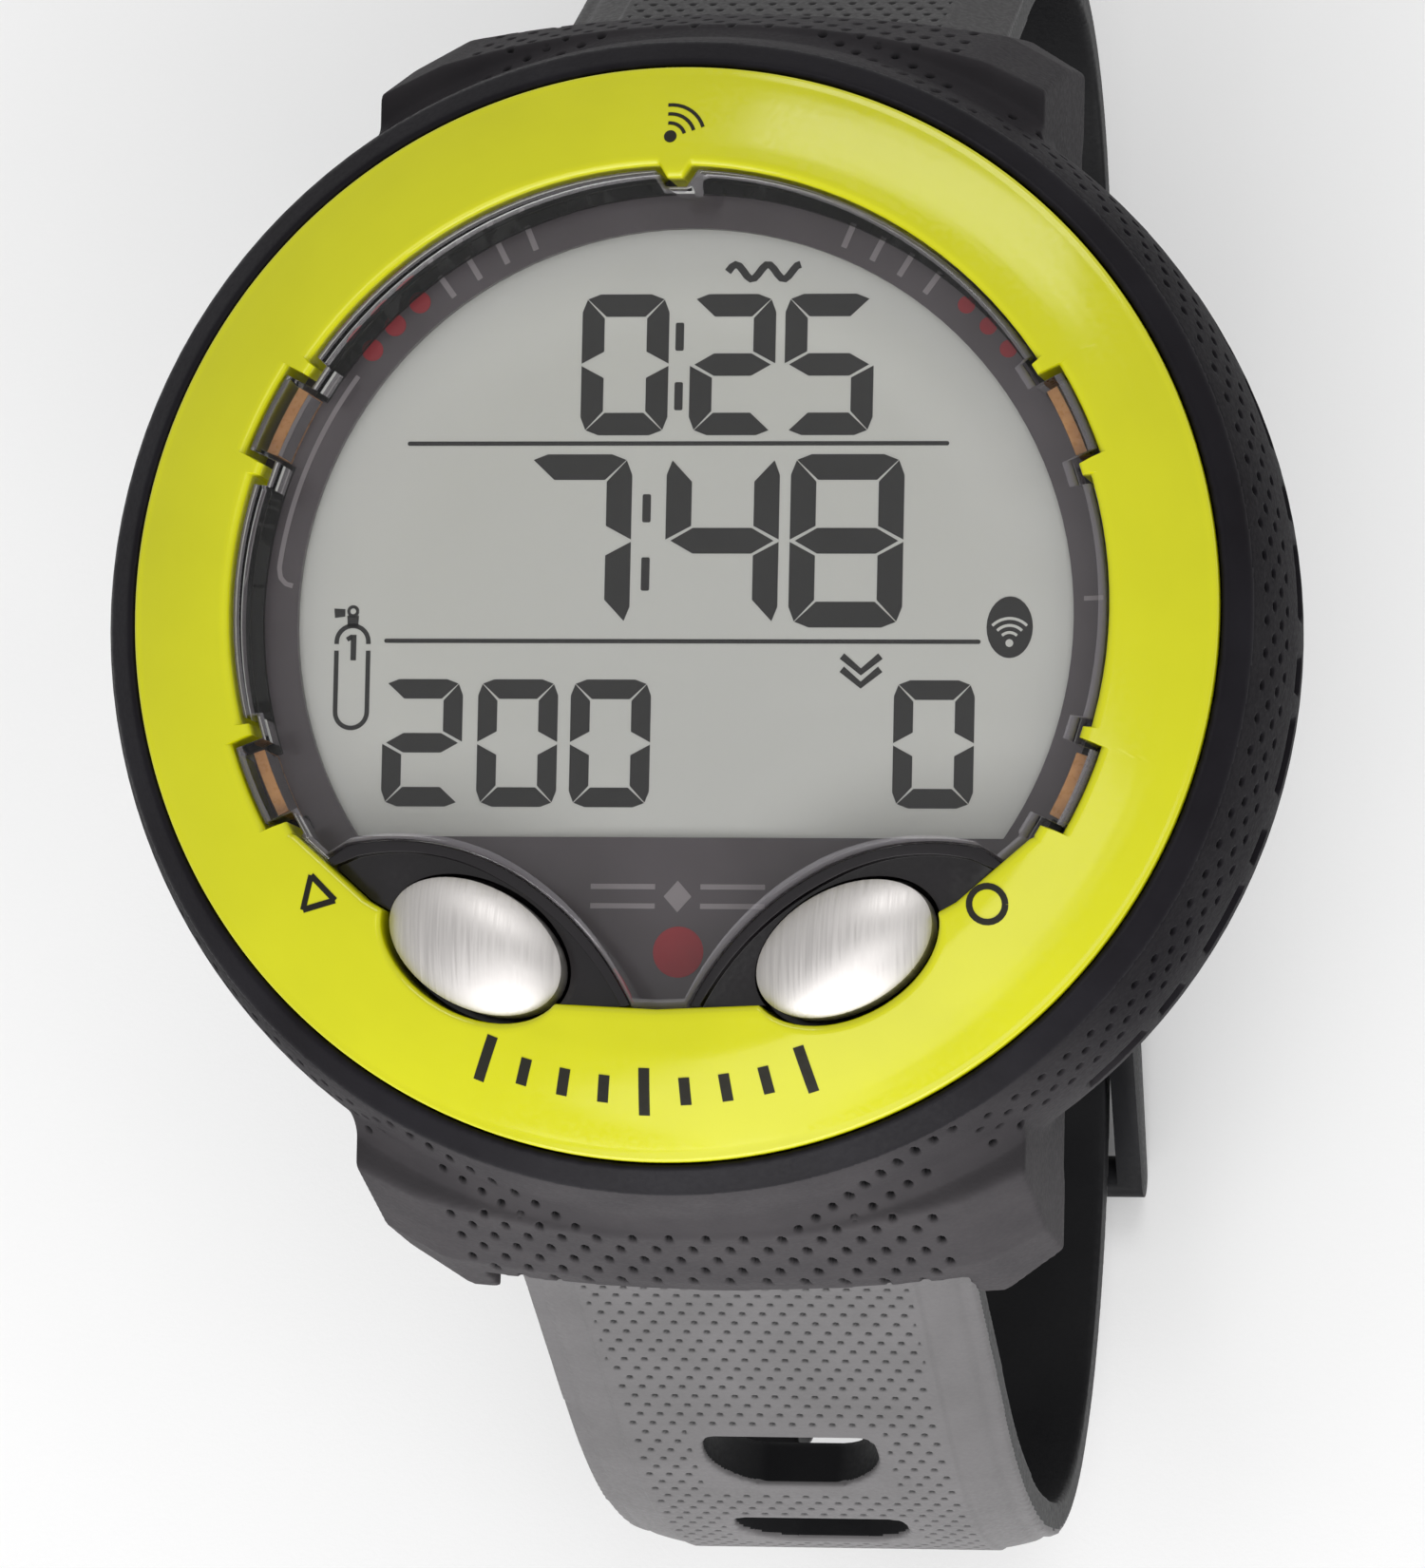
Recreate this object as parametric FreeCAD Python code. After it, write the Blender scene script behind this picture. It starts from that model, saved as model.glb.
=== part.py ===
import FreeCAD, Part
import math
import os

from FreeCAD import Vector

# Wrist dive computer: a sealed module in a rubber case, with a looped two-piece strap.
#
# Frame, in millimetres: the origin is the centre of the flat case back, +Z points out of the
# display, +Y to 12 o'clock and +X to 3 o'clock. Each piece is written as its own STEP file.

# Bezel and lens
BEZEL_R = 31.0
BEZEL_EDGE_Z = 24.0
BEZEL_INNER_R = 25.1
BEZEL_TOP_Z = 26.4
BEZEL_SEAT_Z = 20.5
BEZEL_STEP_R = 29.3
BEZEL_CHIN_R = 20.0
BEZEL_CHIN_Z = 27.1
LENS_R = 24.95
LENS_BOTTOM_Z = 21.0
LENS_TOP_Z = 26.0
LENS_TAB_R = 25.85
NOTCH_R = 24.2
TOOTH_R = 24.65
CHIN_GAP = 0.12
# Each lens tab lies between two notches, given by their angles from 3 o'clock
TAB_ANGLES = ((19.5, 32.0), (148.0, 160.5), (197.2, 209.2), (-29.2, -17.2))
NOTCH_WIDTH = 1.5
TOOTH_WIDTH = 0.8
# Right-hand half of the opening's lower edge, from the circle to the centre line
CHIN_EDGE = ((21.7, -12.6), (20.9, -12.9), (16.8, -16.5), (6.5, -22.3), (0.0, -22.6))

# Display stack
WINDOW_R = 22.3
WINDOW_FLAT_Y = -12.4
DIAL_R = 26.0
DIAL_Z = 20.0
DIAL_T = 0.5
LCD_R = 22.8
LCD_FLAT_Y = -12.8
LCD_Z = 17.7
LCD_T = 2.0
BACKLIGHT_R = 21.8
BACKLIGHT_Z = 15.8
BACKLIGHT_T = 1.8
LCD_FRAME_INNER_R = 22.9
BOARD_Z = 12.0
BOARD_T = 1.2
BOARD_R = 25.0

# Case and module
CASE_BEVEL_R = 32.75
CASE_BEVEL_Z = 22.3
CASE_WAIST_R = 34.05
CASE_WAIST_Z = 12.5
CASE_FOOT_R = 32.7
CASE_FOOT_Z = 3.0
CASE_BORE_R = 29.6
CASE_LOWER_BORE_R = 27.7
CASE_STEP_Z = 9.3
MODULE_R = 29.4
MODULE_LOWER_R = 27.5
MODULE_STEP_Z = 9.5
MODULE_FLOOR_Z = 2.4
MODULE_FLOOR_T = 2.0
MODULE_TOP_Z = 20.4
CAVITY_R = 26.2
DECK_Z = 18.4
DECK_EDGE_Y = -14.4

# Lugs and strap
LUG_HALF_W = 19.3
LUG_CORNER_X = 15.8
LUG_FOOT_Z = -2.4
SLOT_HALF_W = 14.1
SLOT_WALL_Y = 30.5
SLOT_TOP_Z = 6.4
HOOD_INNER_Y = 35.5
HOOD_EDGE_Z = 2.6
PIN_Y = 33.0
PIN_Z = 3.5
PIN_R = 0.9
PIN_HALF_L = 16.5
KNUCKLE_R = 2.2
STRAP_T = 3.0
STRAP_HALF_W_LUG = 13.5
STRAP_HALF_W_BUCKLE = 12.5
STRAP_LAYER_GAP = 0.3
STRAP_LEAN = 28.0
STRAP_START_LEAN = 10.0
STRAP_STRAIGHT = 15.0
STRAP_TIP_Y = 17.5
SLOT_COUNT = 8
SLOT_FIRST = 28.85
SLOT_PITCH = 12.05
SLOT_ENGAGED = 5
SLOT_W = 10.3
SLOT_L = 6.3

# Buckle and keepers
BUCKLE_BAR_Y = -13.0
BUCKLE_BAR_R = 0.75
BUCKLE_EYE_R = 2.1
BUCKLE_FRONT_Y = -25.6
BUCKLE_FRONT_R = 1.3
BUCKLE_INNER_HALF_W = 12.85
BUCKLE_OUTER_HALF_W = 14.4
TANG_R = 0.75
TANG_HALF_W = 1.0
HINGE_CLEARANCE = 0.05
KEEPER_T = 1.3
KEEPER_L = 5.0
KEEPER_FIXED_Y = -6.5
KEEPER_FIXED_GAP = 0.05
KEEPER_SLIDING_Y = 5.0
KEEPER_SLIDING_GAP = 0.3

# Buttons
BUTTON_X = 10.5
BUTTON_Y = -19.1
BUTTON_TILT = 28.0
BUTTON_A = 5.3
BUTTON_B = 3.4
BUTTON_FOOT_Z = 23.9
BUTTON_DOME_Z = 27.5
BUTTON_GAP = 0.3
DOME_SPREAD = 1.35
DOME_H = 4.6
STEM_R = 1.25
STEM_FOOT_Z = 15.2
STEM_BORE_R = 1.32
GROOVE_R = 0.85
SPRING_R = 1.9
SPRING_WIRE_R = 0.2
SPRING_COILS = 5
FRAME_TOP_Z = 24.6
FRAME_RIM_Z = 25.4
FRAME_FLOOR_Z = 22.6

# Back, hatch and battery
BACK_R = 27.2
BACK_STEP_R = 24.8
BACK_LIP_T = 0.9
BACK_T = 2.3
RING_OUTER_R = 15.8
RING_INNER_R = 11.0
RING_Z = 0.1
RING_TOP_Z = 2.1
RING_SHELF_Z = 1.1
RING_LUG_R = 17.2
RING_LUG_ANGLES = (30.0, 150.0, 270.0)
RING_LUG_SPREAD = 24.0
RING_UNLOCK_TURN = 60.0
HATCH_R = 12.9
HATCH_TOP_Z = 3.8
CHAMBER_R = 13.0
CHAMBER_WALL_R = 14.4
CHAMBER_TOP_Z = 9.9
CHAMBER_ROOF_T = 1.2
BATTERY_R = 12.25
BATTERY_Z = 3.9
BATTERY_T = 5.0
SCREW_PCD_R = 21.4
SENSOR_Y = 21.0
SENSOR_COVER_R = 2.95

Z_AXIS = Vector(0, 0, 1)
X_AXIS = Vector(1, 0, 0)
Y_AXIS = Vector(0, 1, 0)


def disc(radius, bottom, top, x=0.0, y=0.0):
    """A round slab."""
    return Part.makeCylinder(radius, top - bottom, Vector(x, y, bottom))


def ring(outer, inner, bottom, top, x=0.0, y=0.0):
    """A round slab with a round hole."""
    return disc(outer, bottom, top, x, y).cut(disc(inner, bottom - 1, top + 1, x, y))


def block(x0, x1, y0, y1, z0, z1):
    """A box between two corners."""
    return Part.makeBox(x1 - x0, y1 - y0, z1 - z0, Vector(x0, y0, z0))


def cross_bar(radius, half_length, y, z):
    """A round bar along X."""
    return Part.makeCylinder(radius, 2 * half_length, Vector(-half_length, y, z), X_AXIS)


def prism_xy(points, bottom, top, offset=0.0):
    """A polygon in plan, grown by offset, raised from bottom to top."""
    wire = Part.makePolygon([Vector(x, y, bottom) for x, y in points + points[:1]])
    face = Part.Face(wire)
    if offset:
        face = face.makeOffset2D(offset)
    return face.extrude(Vector(0, 0, top - bottom))


def prism_yz(points, half_width):
    """A polygon in the side view, spread to both sides of X = 0."""
    wire = Part.makePolygon([Vector(-half_width, y, z) for y, z in points + points[:1]])
    return Part.Face(wire).extrude(Vector(2 * half_width, 0, 0))


def prism_xz(points, y0, y1):
    """A polygon in the front view, drawn out from y0 to y1."""
    wire = Part.makePolygon([Vector(x, y0, z) for x, z in points + points[:1]])
    return Part.Face(wire).extrude(Vector(0, y1 - y0, 0))


def wedge(radius, start, end, bottom, top):
    """A pie slice between two angles in degrees."""
    middle = math.radians((start + end) / 2)
    first = math.radians(start)
    last = math.radians(end)
    arc = Part.Arc(
        Vector(radius * math.cos(first), radius * math.sin(first), bottom),
        Vector(radius * math.cos(middle), radius * math.sin(middle), bottom),
        Vector(radius * math.cos(last), radius * math.sin(last), bottom),
    ).toShape()
    centre = Vector(0, 0, bottom)
    going = Part.makeLine(centre, arc.Vertexes[0].Point)
    coming = Part.makeLine(arc.Vertexes[-1].Point, centre)
    return Part.Face(Part.Wire([going, arc, coming])).extrude(Vector(0, 0, top - bottom))


def spoke(angle, width, inner, outer, bottom, top):
    """A short bar along a radius."""
    bar = block(inner, outer, -width / 2, width / 2, bottom, top)
    return bar.rotate(Vector(0, 0, 0), Z_AXIS, angle)


def oval(side, grow, bottom, top):
    """The button's oval on one side, grown by a gap."""
    centre = Vector(0, 0, 0)
    ellipse = Part.Ellipse(centre, BUTTON_A + grow, BUTTON_B + grow).toShape()
    shape = Part.Face(Part.Wire(ellipse)).extrude(Vector(0, 0, top - bottom))
    shape.rotate(centre, Z_AXIS, side * BUTTON_TILT)
    shape.translate(Vector(side * BUTTON_X, BUTTON_Y, bottom))
    return shape


def join(first, *others):
    """One solid out of several that touch."""
    return first.fuse(list(others)).removeSplitter()


def chin_outline(drop=0.0):
    """The whole lower outline of the lens opening, closed above by a straight line."""
    right = [(x, y + drop) for x, y in CHIN_EDGE]
    left = [(-x, y) for x, y in right[-2::-1]]
    shoulder = WINDOW_FLAT_Y + 3.0
    return right + left + [(-right[0][0], shoulder), (right[0][0], shoulder)]


def lens_opening(radius, gap, bottom, top):
    """The space inside the bezel: round above, with a straight-sided chin below."""
    upper = disc(radius, bottom, top).common(block(-40, 40, CHIN_EDGE[0][1], 40, bottom - 1, top + 1))
    lower = prism_xy(chin_outline(), bottom, top, -gap)
    return join(upper, lower)


def almond(side, inset, bottom, top):
    """The eye-shaped button recess beside the chin panel."""
    tip = Vector(side * (18.1 - inset), -13.4 - inset, bottom)
    brow = Vector(side * 13.4, -13.25 - inset, bottom)
    shoulder = Vector(side * (9.4 + inset * 0.4), -14.5 - inset, bottom)
    cheek = Vector(side * (5.0 + inset * 0.7), -17.7 - inset * 0.7, bottom)
    foot = Vector(side * (1.7 + inset), -22.3, bottom)
    corner = Vector(side * 7.0, -24.5, bottom)
    outer = Vector(side * 21.0, -15.5, bottom)
    edges = [
        Part.Arc(tip, brow, shoulder).toShape(),
        Part.Arc(shoulder, cheek, foot).toShape(),
        Part.makeLine(foot, corner),
        Part.makeLine(corner, outer),
        Part.makeLine(outer, tip),
    ]
    return Part.Face(Part.Wire(edges)).extrude(Vector(0, 0, top - bottom))


def bezel_blank():
    """The bezel before its opening is cut: a crowned ring with a raised chin."""
    outline = [
        Part.Arc(
            Vector(BEZEL_R, 0, BEZEL_EDGE_Z),
            Vector(28.2, 0, 25.42),
            Vector(BEZEL_INNER_R, 0, BEZEL_TOP_Z),
        ).toShape()
    ]
    corners = [
        (BEZEL_INNER_R, BEZEL_TOP_Z),
        (BEZEL_CHIN_R, BEZEL_CHIN_Z),
        (BEZEL_CHIN_R, BEZEL_SEAT_Z),
        (BEZEL_STEP_R, BEZEL_SEAT_Z),
        (BEZEL_STEP_R, BEZEL_SEAT_Z + 2.0),
        (BEZEL_R - 0.1, BEZEL_SEAT_Z + 2.0),
        (BEZEL_R, BEZEL_EDGE_Z),
    ]
    for start, end in zip(corners, corners[1:]):
        outline.append(Part.makeLine(Vector(start[0], 0, start[1]), Vector(end[0], 0, end[1])))
    return Part.Face(Part.Wire(outline)).revolve(Vector(0, 0, 0), Z_AXIS, 360)


def bezel_ring():
    """The yellow bezel, with pockets for the lens tabs, teeth for its notches and button ovals."""
    low = BEZEL_SEAT_Z - 1
    high = BEZEL_CHIN_Z + 1
    shape = bezel_blank().cut(lens_opening(BEZEL_INNER_R, 0.0, low, high))
    for side in (-1, 1):
        shape = shape.cut(oval(side, BUTTON_GAP + 0.15, low, high))
    for start, end in TAB_ANGLES:
        shape = shape.cut(wedge(LENS_TAB_R + 0.1, start, end, low, high))
    tooth_top = BEZEL_TOP_Z - 0.35
    teeth = []
    for start, end in TAB_ANGLES:
        for angle in (start - 1.0, end + 1.0):
            teeth.append(spoke(angle, TOOTH_WIDTH, TOOTH_R, LENS_TAB_R + 0.6, LENS_BOTTOM_Z, tooth_top))
    crown = prism_xy([(-1.1, 25.4), (1.1, 25.4), (0.45, 24.35), (-0.45, 24.35)], LENS_BOTTOM_Z, tooth_top)
    lower_half = block(-40, 40, -40, CHIN_EDGE[0][1] - 0.3, low, high)
    return join(shape, *[tooth.cut(lower_half) for tooth in teeth], crown)


def display_lens():
    """The clear lens, with four edge tabs, notches between them and a chin between the buttons."""
    shape = lens_opening(LENS_R, CHIN_GAP, LENS_BOTTOM_Z, LENS_TOP_Z)
    low = LENS_BOTTOM_Z - 1
    high = LENS_TOP_Z + 1
    tabs = []
    for start, end in TAB_ANGLES:
        tab = wedge(LENS_TAB_R, start + 0.4, end - 0.4, LENS_BOTTOM_Z, LENS_TOP_Z)
        tabs.append(tab.cut(block(-40, 40, -40, CHIN_EDGE[0][1] + 0.1, low, high)))
    shape = join(shape, *tabs)
    for start, end in TAB_ANGLES:
        for angle in (start - 1.0, end + 1.0):
            shape = shape.cut(spoke(angle, NOTCH_WIDTH, NOTCH_R, LENS_TAB_R + 1, low, high))
    shape = shape.cut(prism_xy([(-1.6, 25.5), (1.6, 25.5), (0.6, 23.95), (-0.6, 23.95)], low, high))
    shape = shape.cut(bezel_clips())
    for side in (-1, 1):
        shape = shape.cut(almond(side, -0.1, low, high))
        shape = shape.cut(oval(side, BUTTON_GAP + 0.5, low, high))
    return shape


def bezel_clips():
    """Four amber clips that hold the bezel, one under each lens tab."""
    clips = []
    for start, end in TAB_ANGLES:
        bar = wedge(25.15, start + 1.6, end - 1.6, BEZEL_SEAT_Z, 24.4)
        bar = bar.cut(disc(24.5, BEZEL_SEAT_Z - 1, 25.0))
        clips.append(bar)
    return Part.makeCompound(clips)


def lens_gasket():
    """The thin seal under the lens edge, broken by the clips."""
    seal = ring(24.9, 24.2, BEZEL_SEAT_Z, LENS_BOTTOM_Z)
    seal = seal.cut(block(-40, 40, -40, CHIN_EDGE[0][1] + 0.6, BEZEL_SEAT_Z - 1, LENS_BOTTOM_Z + 1))
    for start, end in TAB_ANGLES:
        seal = seal.cut(wedge(26.0, start + 1.4, end - 1.4, BEZEL_SEAT_Z - 1, LENS_BOTTOM_Z + 1))
    return seal


def clipped_disc(radius, flat_y, bottom, top):
    """A round slab with a straight edge towards 6 o'clock."""
    return disc(radius, bottom, top).common(block(-40, 40, flat_y, 40, bottom - 1, top + 1))


def dial_ring():
    """The printed mask round the display, with its lower panel and holes for the stems."""
    top = DIAL_Z + DIAL_T
    window = clipped_disc(WINDOW_R, WINDOW_FLAT_Y, DIAL_Z - 1, top + 1)
    shape = disc(DIAL_R, DIAL_Z, top).cut(window)
    for side in (-1, 1):
        shape = shape.cut(disc(2.6, DIAL_Z - 1, top + 1, side * BUTTON_X, BUTTON_Y))
    return shape


def lcd_frame():
    """The carrier that holds the display glass above the circuit board."""
    low = BOARD_Z + BOARD_T
    high = LCD_Z + LCD_T
    shape = clipped_disc(BOARD_R, LCD_FLAT_Y - 1.3, low, high)
    return shape.cut(clipped_disc(LCD_FRAME_INNER_R, LCD_FLAT_Y - 0.1, low - 1, high + 1))


def contact_strips():
    """Two rubber strips that carry the signals up to the display glass."""
    low = BOARD_Z + BOARD_T
    lower = block(-15.0, 15.0, -12.5, -10.9, low, LCD_Z)
    upper = block(-12.0, 12.0, 16.6, 18.2, low, LCD_Z)
    return Part.makeCompound([lower, upper])


def backlight_panel():
    """The light guide under the display glass."""
    shape = disc(BACKLIGHT_R, BACKLIGHT_Z, BACKLIGHT_Z + BACKLIGHT_T)
    return shape.common(block(-40, 40, -10.7, 16.4, BACKLIGHT_Z - 1, LCD_Z))


def circuit_board():
    """The round circuit board, with holes for its screws."""
    shape = disc(BOARD_R, BOARD_Z, BOARD_Z + BOARD_T)
    for x, y in board_screw_places():
        shape = shape.cut(disc(0.85, BOARD_Z - 1, BOARD_Z + BOARD_T + 1, x, y))
    return shape


def board_screw_places():
    """Three posts under the circuit board."""
    places = []
    for angle in (30.0, 150.0, 270.0):
        turn = math.radians(angle)
        places.append((21.0 * math.cos(turn), 21.0 * math.sin(turn)))
    return places


def board_screws():
    """Three pan-head screws through the circuit board."""
    top = BOARD_Z + BOARD_T
    screws = []
    for x, y in board_screw_places():
        screws.append(join(disc(1.6, top, top + 0.8, x, y), disc(0.8, 8.0, top, x, y)))
    return Part.makeCompound(screws)


def board_chips():
    """Packages soldered to the top of the circuit board."""
    low = BOARD_Z + BOARD_T
    places = (
        (-8.0, 2.0, 7.0, 7.0, 1.0),
        (5.0, 4.0, 5.0, 5.0, 0.9),
        (3.0, -6.0, 4.0, 3.0, 0.8),
        (-10.0, -6.0, 3.2, 2.5, 1.2),
    )
    chips = [block(x, x + w, y, y + d, low, low + h) for x, y, w, d, h in places]
    return Part.makeCompound(chips)


def radio_antenna():
    """The ceramic antenna at the board's 12 o'clock edge."""
    low = BOARD_Z + BOARD_T
    return block(-3.5, 3.5, 19.6, 21.6, low, low + 1.2)


def button_switches():
    """Two tact switches under the button stems."""
    low = BOARD_Z + BOARD_T
    switches = []
    for side in (-1, 1):
        x = side * BUTTON_X
        body = block(x - 1.9, x + 1.9, BUTTON_Y - 1.9, BUTTON_Y + 1.9, low, low + 0.7)
        switches.append(join(body, disc(0.9, low + 0.7, low + 1.0, x, BUTTON_Y)))
    return Part.makeCompound(switches)


def module_housing():
    """The sealed inner housing: a stepped cup with a battery chamber, board posts and a button deck."""
    floor_top = MODULE_FLOOR_Z + MODULE_FLOOR_T
    shape = join(
        disc(MODULE_LOWER_R, MODULE_FLOOR_Z, MODULE_STEP_Z),
        disc(MODULE_R, MODULE_STEP_Z, MODULE_TOP_Z),
    )
    shape = shape.cut(disc(CAVITY_R, floor_top, MODULE_TOP_Z + 1))
    deck = disc(CAVITY_R + 0.5, DECK_Z, DIAL_Z)
    deck = deck.common(block(-40, 40, -40, DECK_EDGE_Y, DECK_Z, DIAL_Z))
    chamber = disc(CHAMBER_WALL_R, MODULE_FLOOR_Z, CHAMBER_TOP_Z + CHAMBER_ROOF_T)
    posts = [disc(1.9, MODULE_FLOOR_Z + 1, BOARD_Z, x, y) for x, y in board_screw_places()]
    shape = join(shape, deck, chamber, *posts)
    shape = shape.cut(disc(CHAMBER_R, MODULE_FLOOR_Z - 1, CHAMBER_TOP_Z))
    for side in (-1, 1):
        shape = shape.cut(disc(STEM_BORE_R, DECK_Z - 1, DIAL_Z + 1, side * BUTTON_X, BUTTON_Y))
    for x, y in board_screw_places():
        shape = shape.cut(disc(0.8, 8.0, BOARD_Z + 1, x, y))
    for x, y in back_screw_places():
        shape = shape.cut(disc(1.0, MODULE_FLOOR_Z - 1, floor_top - 0.3, x, y))
    for x, y in water_contact_places():
        shape = shape.cut(disc(0.9, MODULE_FLOOR_Z - 1, floor_top + 1, x, y))
    return shape.cut(disc(1.2, MODULE_FLOOR_Z - 1, floor_top + 1, 0, SENSOR_Y))


def back_screw_places():
    """Four screws round the case back."""
    places = []
    for angle in (45.0, 135.0, 225.0, 315.0):
        turn = math.radians(angle)
        places.append((SCREW_PCD_R * math.cos(turn), SCREW_PCD_R * math.sin(turn)))
    return places


def water_contact_places():
    """Two pins that sense water."""
    return [(-6.5, -20.0), (6.5, -20.0)]


def back_plate():
    """The case back: a stepped plate that clamps the rubber case to the module."""
    shape = join(disc(BACK_R, 0.0, BACK_LIP_T), disc(BACK_STEP_R, 0.0, BACK_T))
    shape = shape.cut(disc(RING_OUTER_R + 0.1, -1, BACK_T + 1))
    shape = shape.cut(disc(RING_LUG_R + 0.15, RING_SHELF_Z, BACK_T + 1))
    for angle in RING_LUG_ANGLES:
        middle = angle + RING_UNLOCK_TURN
        half = RING_LUG_SPREAD / 2 + 1
        shape = shape.cut(wedge(RING_LUG_R + 0.15, middle - half, middle + half, -1, BACK_T))
    for x, y in back_screw_places():
        shape = shape.cut(disc(1.0, -1, BACK_T + 1, x, y))
        shape = shape.cut(disc(2.05, -1, 1.4, x, y))
    for x, y in water_contact_places():
        shape = shape.cut(disc(1.6, -1, BACK_T + 1, x, y))
    shape = shape.cut(disc(SENSOR_COVER_R + 0.05, -1, 1.5, 0, SENSOR_Y))
    return shape.cut(disc(1.2, -1, BACK_T + 1, 0, SENSOR_Y))


def back_screws():
    """Four cross-head screws in the case back."""
    screws = []
    for x, y in back_screw_places():
        head = disc(2.0, 0.15, 1.4, x, y)
        head = head.cut(block(x - 1.3, x + 1.3, y - 0.25, y + 0.25, 0, 0.8))
        head = head.cut(block(x - 0.25, x + 0.25, y - 1.3, y + 1.3, 0, 0.8))
        screws.append(join(head, disc(1.0, 1.4, MODULE_FLOOR_Z + MODULE_FLOOR_T - 0.3, x, y)))
    return Part.makeCompound(screws)


def water_contacts():
    """Two flanged pins in the case back."""
    pins = []
    for x, y in water_contact_places():
        pins.append(join(disc(1.55, 0.3, MODULE_FLOOR_Z, x, y), disc(0.9, MODULE_FLOOR_Z, 5.4, x, y)))
    return Part.makeCompound(pins)


def depth_sensor():
    """The pressure sensor can on the module floor."""
    low = MODULE_FLOOR_Z + MODULE_FLOOR_T
    return join(disc(3.6, low, low + 1.0, 0, SENSOR_Y), disc(2.9, low, low + 3.6, 0, SENSOR_Y))


def sensor_port_cover():
    """The perforated cover over the pressure port."""
    shape = disc(SENSOR_COVER_R, 0.3, 1.5, 0, SENSOR_Y)
    for index in range(5):
        turn = math.radians(72 * index)
        x = 1.7 * math.cos(turn)
        y = SENSOR_Y + 1.7 * math.sin(turn)
        shape = shape.cut(disc(0.35, 0, 2, x, y))
    return shape


def piezo_buzzer():
    """The alarm disc on the module floor."""
    low = MODULE_FLOOR_Z + MODULE_FLOOR_T
    return join(disc(5.4, low, low + 0.3, -17.2, -10.0), disc(4.0, low + 0.3, low + 0.7, -17.2, -10.0))


def battery_hatch():
    """The hatch plug, flush in the centre of the case back, with a seal groove."""
    shoulder = RING_SHELF_Z + 0.1
    shape = join(disc(RING_INNER_R - 0.1, 0.0, shoulder), disc(HATCH_R, shoulder, HATCH_TOP_Z))
    return shape.cut(ring(HATCH_R + 1, HATCH_R - 0.95, 2.1, 3.1))


def hatch_seal():
    """The O-ring in the hatch groove."""
    return Part.makeTorus(12.48, 0.5, Vector(0, 0, 2.6))


def hatch_retaining_ring():
    """The bayonet ring that locks the hatch, with three lugs and two tool notches."""
    half = RING_LUG_SPREAD / 2
    shape = ring(RING_OUTER_R, RING_INNER_R, RING_Z, RING_TOP_Z)
    shape = shape.cut(disc(HATCH_R + 0.15, RING_SHELF_Z, RING_TOP_Z + 1))
    lugs = []
    for angle in RING_LUG_ANGLES:
        lug = wedge(RING_LUG_R, angle - half, angle + half, RING_SHELF_Z + 0.1, RING_TOP_Z)
        lugs.append(lug.cut(disc(RING_OUTER_R - 1.0, 0, 3)))
    shape = join(shape, *lugs)
    for side in (-1, 1):
        shape = shape.cut(block(-0.9, 0.9, side * 13.4 - 1.1, side * 13.4 + 1.1, -1, 0.8))
    return shape


def battery_cell():
    """The coin cell, with its narrower cap face inwards."""
    return join(disc(BATTERY_R, BATTERY_Z, BATTERY_Z + 4.5), disc(10.8, BATTERY_Z, BATTERY_Z + BATTERY_T))


def battery_spring_contact():
    """The leaf that presses on the cell's centre."""
    low = BATTERY_Z + BATTERY_T
    foot = block(-1.5, 9.0, -1.5, 1.5, CHAMBER_TOP_Z - 0.25, CHAMBER_TOP_Z)
    riser = block(-1.5, -1.2, -1.5, 1.5, low, CHAMBER_TOP_Z)
    pad = block(-1.5, 2.5, -1.5, 1.5, low, low + 0.25)
    return join(foot, riser, pad)


def battery_side_contact():
    """The leaf that touches the cell's rim."""
    shape = ring(12.75, 12.3, 5.0, 8.2).common(wedge(14.0, 80, 100, 4.0, 9.0))
    return shape


def case_profile():
    """Half of the case's section: bevel, bulging side wall, rounded foot and stepped bore."""
    top = Vector(BEZEL_R + 0.35, 0, BEZEL_EDGE_Z - 0.3)
    bevel = Vector(CASE_BEVEL_R, 0, CASE_BEVEL_Z)
    waist = Vector(CASE_WAIST_R, 0, CASE_WAIST_Z)
    foot = Vector(CASE_FOOT_R, 0, CASE_FOOT_Z)
    edges = [
        Part.makeLine(top, bevel),
        Part.Arc(bevel, waist, foot).toShape(),
        Part.Arc(foot, Vector(31.9, 0, 0.95), Vector(30.2, 0, 0.0)).toShape(),
    ]
    corners = [
        (30.2, 0.0),
        (BACK_R + 0.2, 0.0),
        (BACK_R + 0.2, BACK_LIP_T + 0.05),
        (BACK_STEP_R + 0.1, BACK_LIP_T + 0.05),
        (BACK_STEP_R + 0.1, BACK_T),
        (CASE_LOWER_BORE_R, BACK_T),
        (CASE_LOWER_BORE_R, CASE_STEP_Z),
        (CASE_BORE_R, CASE_STEP_Z),
        (CASE_BORE_R, BEZEL_SEAT_Z + 1.9),
        (BEZEL_R + 0.1, BEZEL_SEAT_Z + 1.9),
        (BEZEL_R + 0.1, top.z),
        (top.x, top.z),
    ]
    for start, end in zip(corners, corners[1:]):
        edges.append(Part.makeLine(Vector(start[0], 0, start[1]), Vector(end[0], 0, end[1])))
    return Part.Face(Part.Wire(edges))


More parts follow.
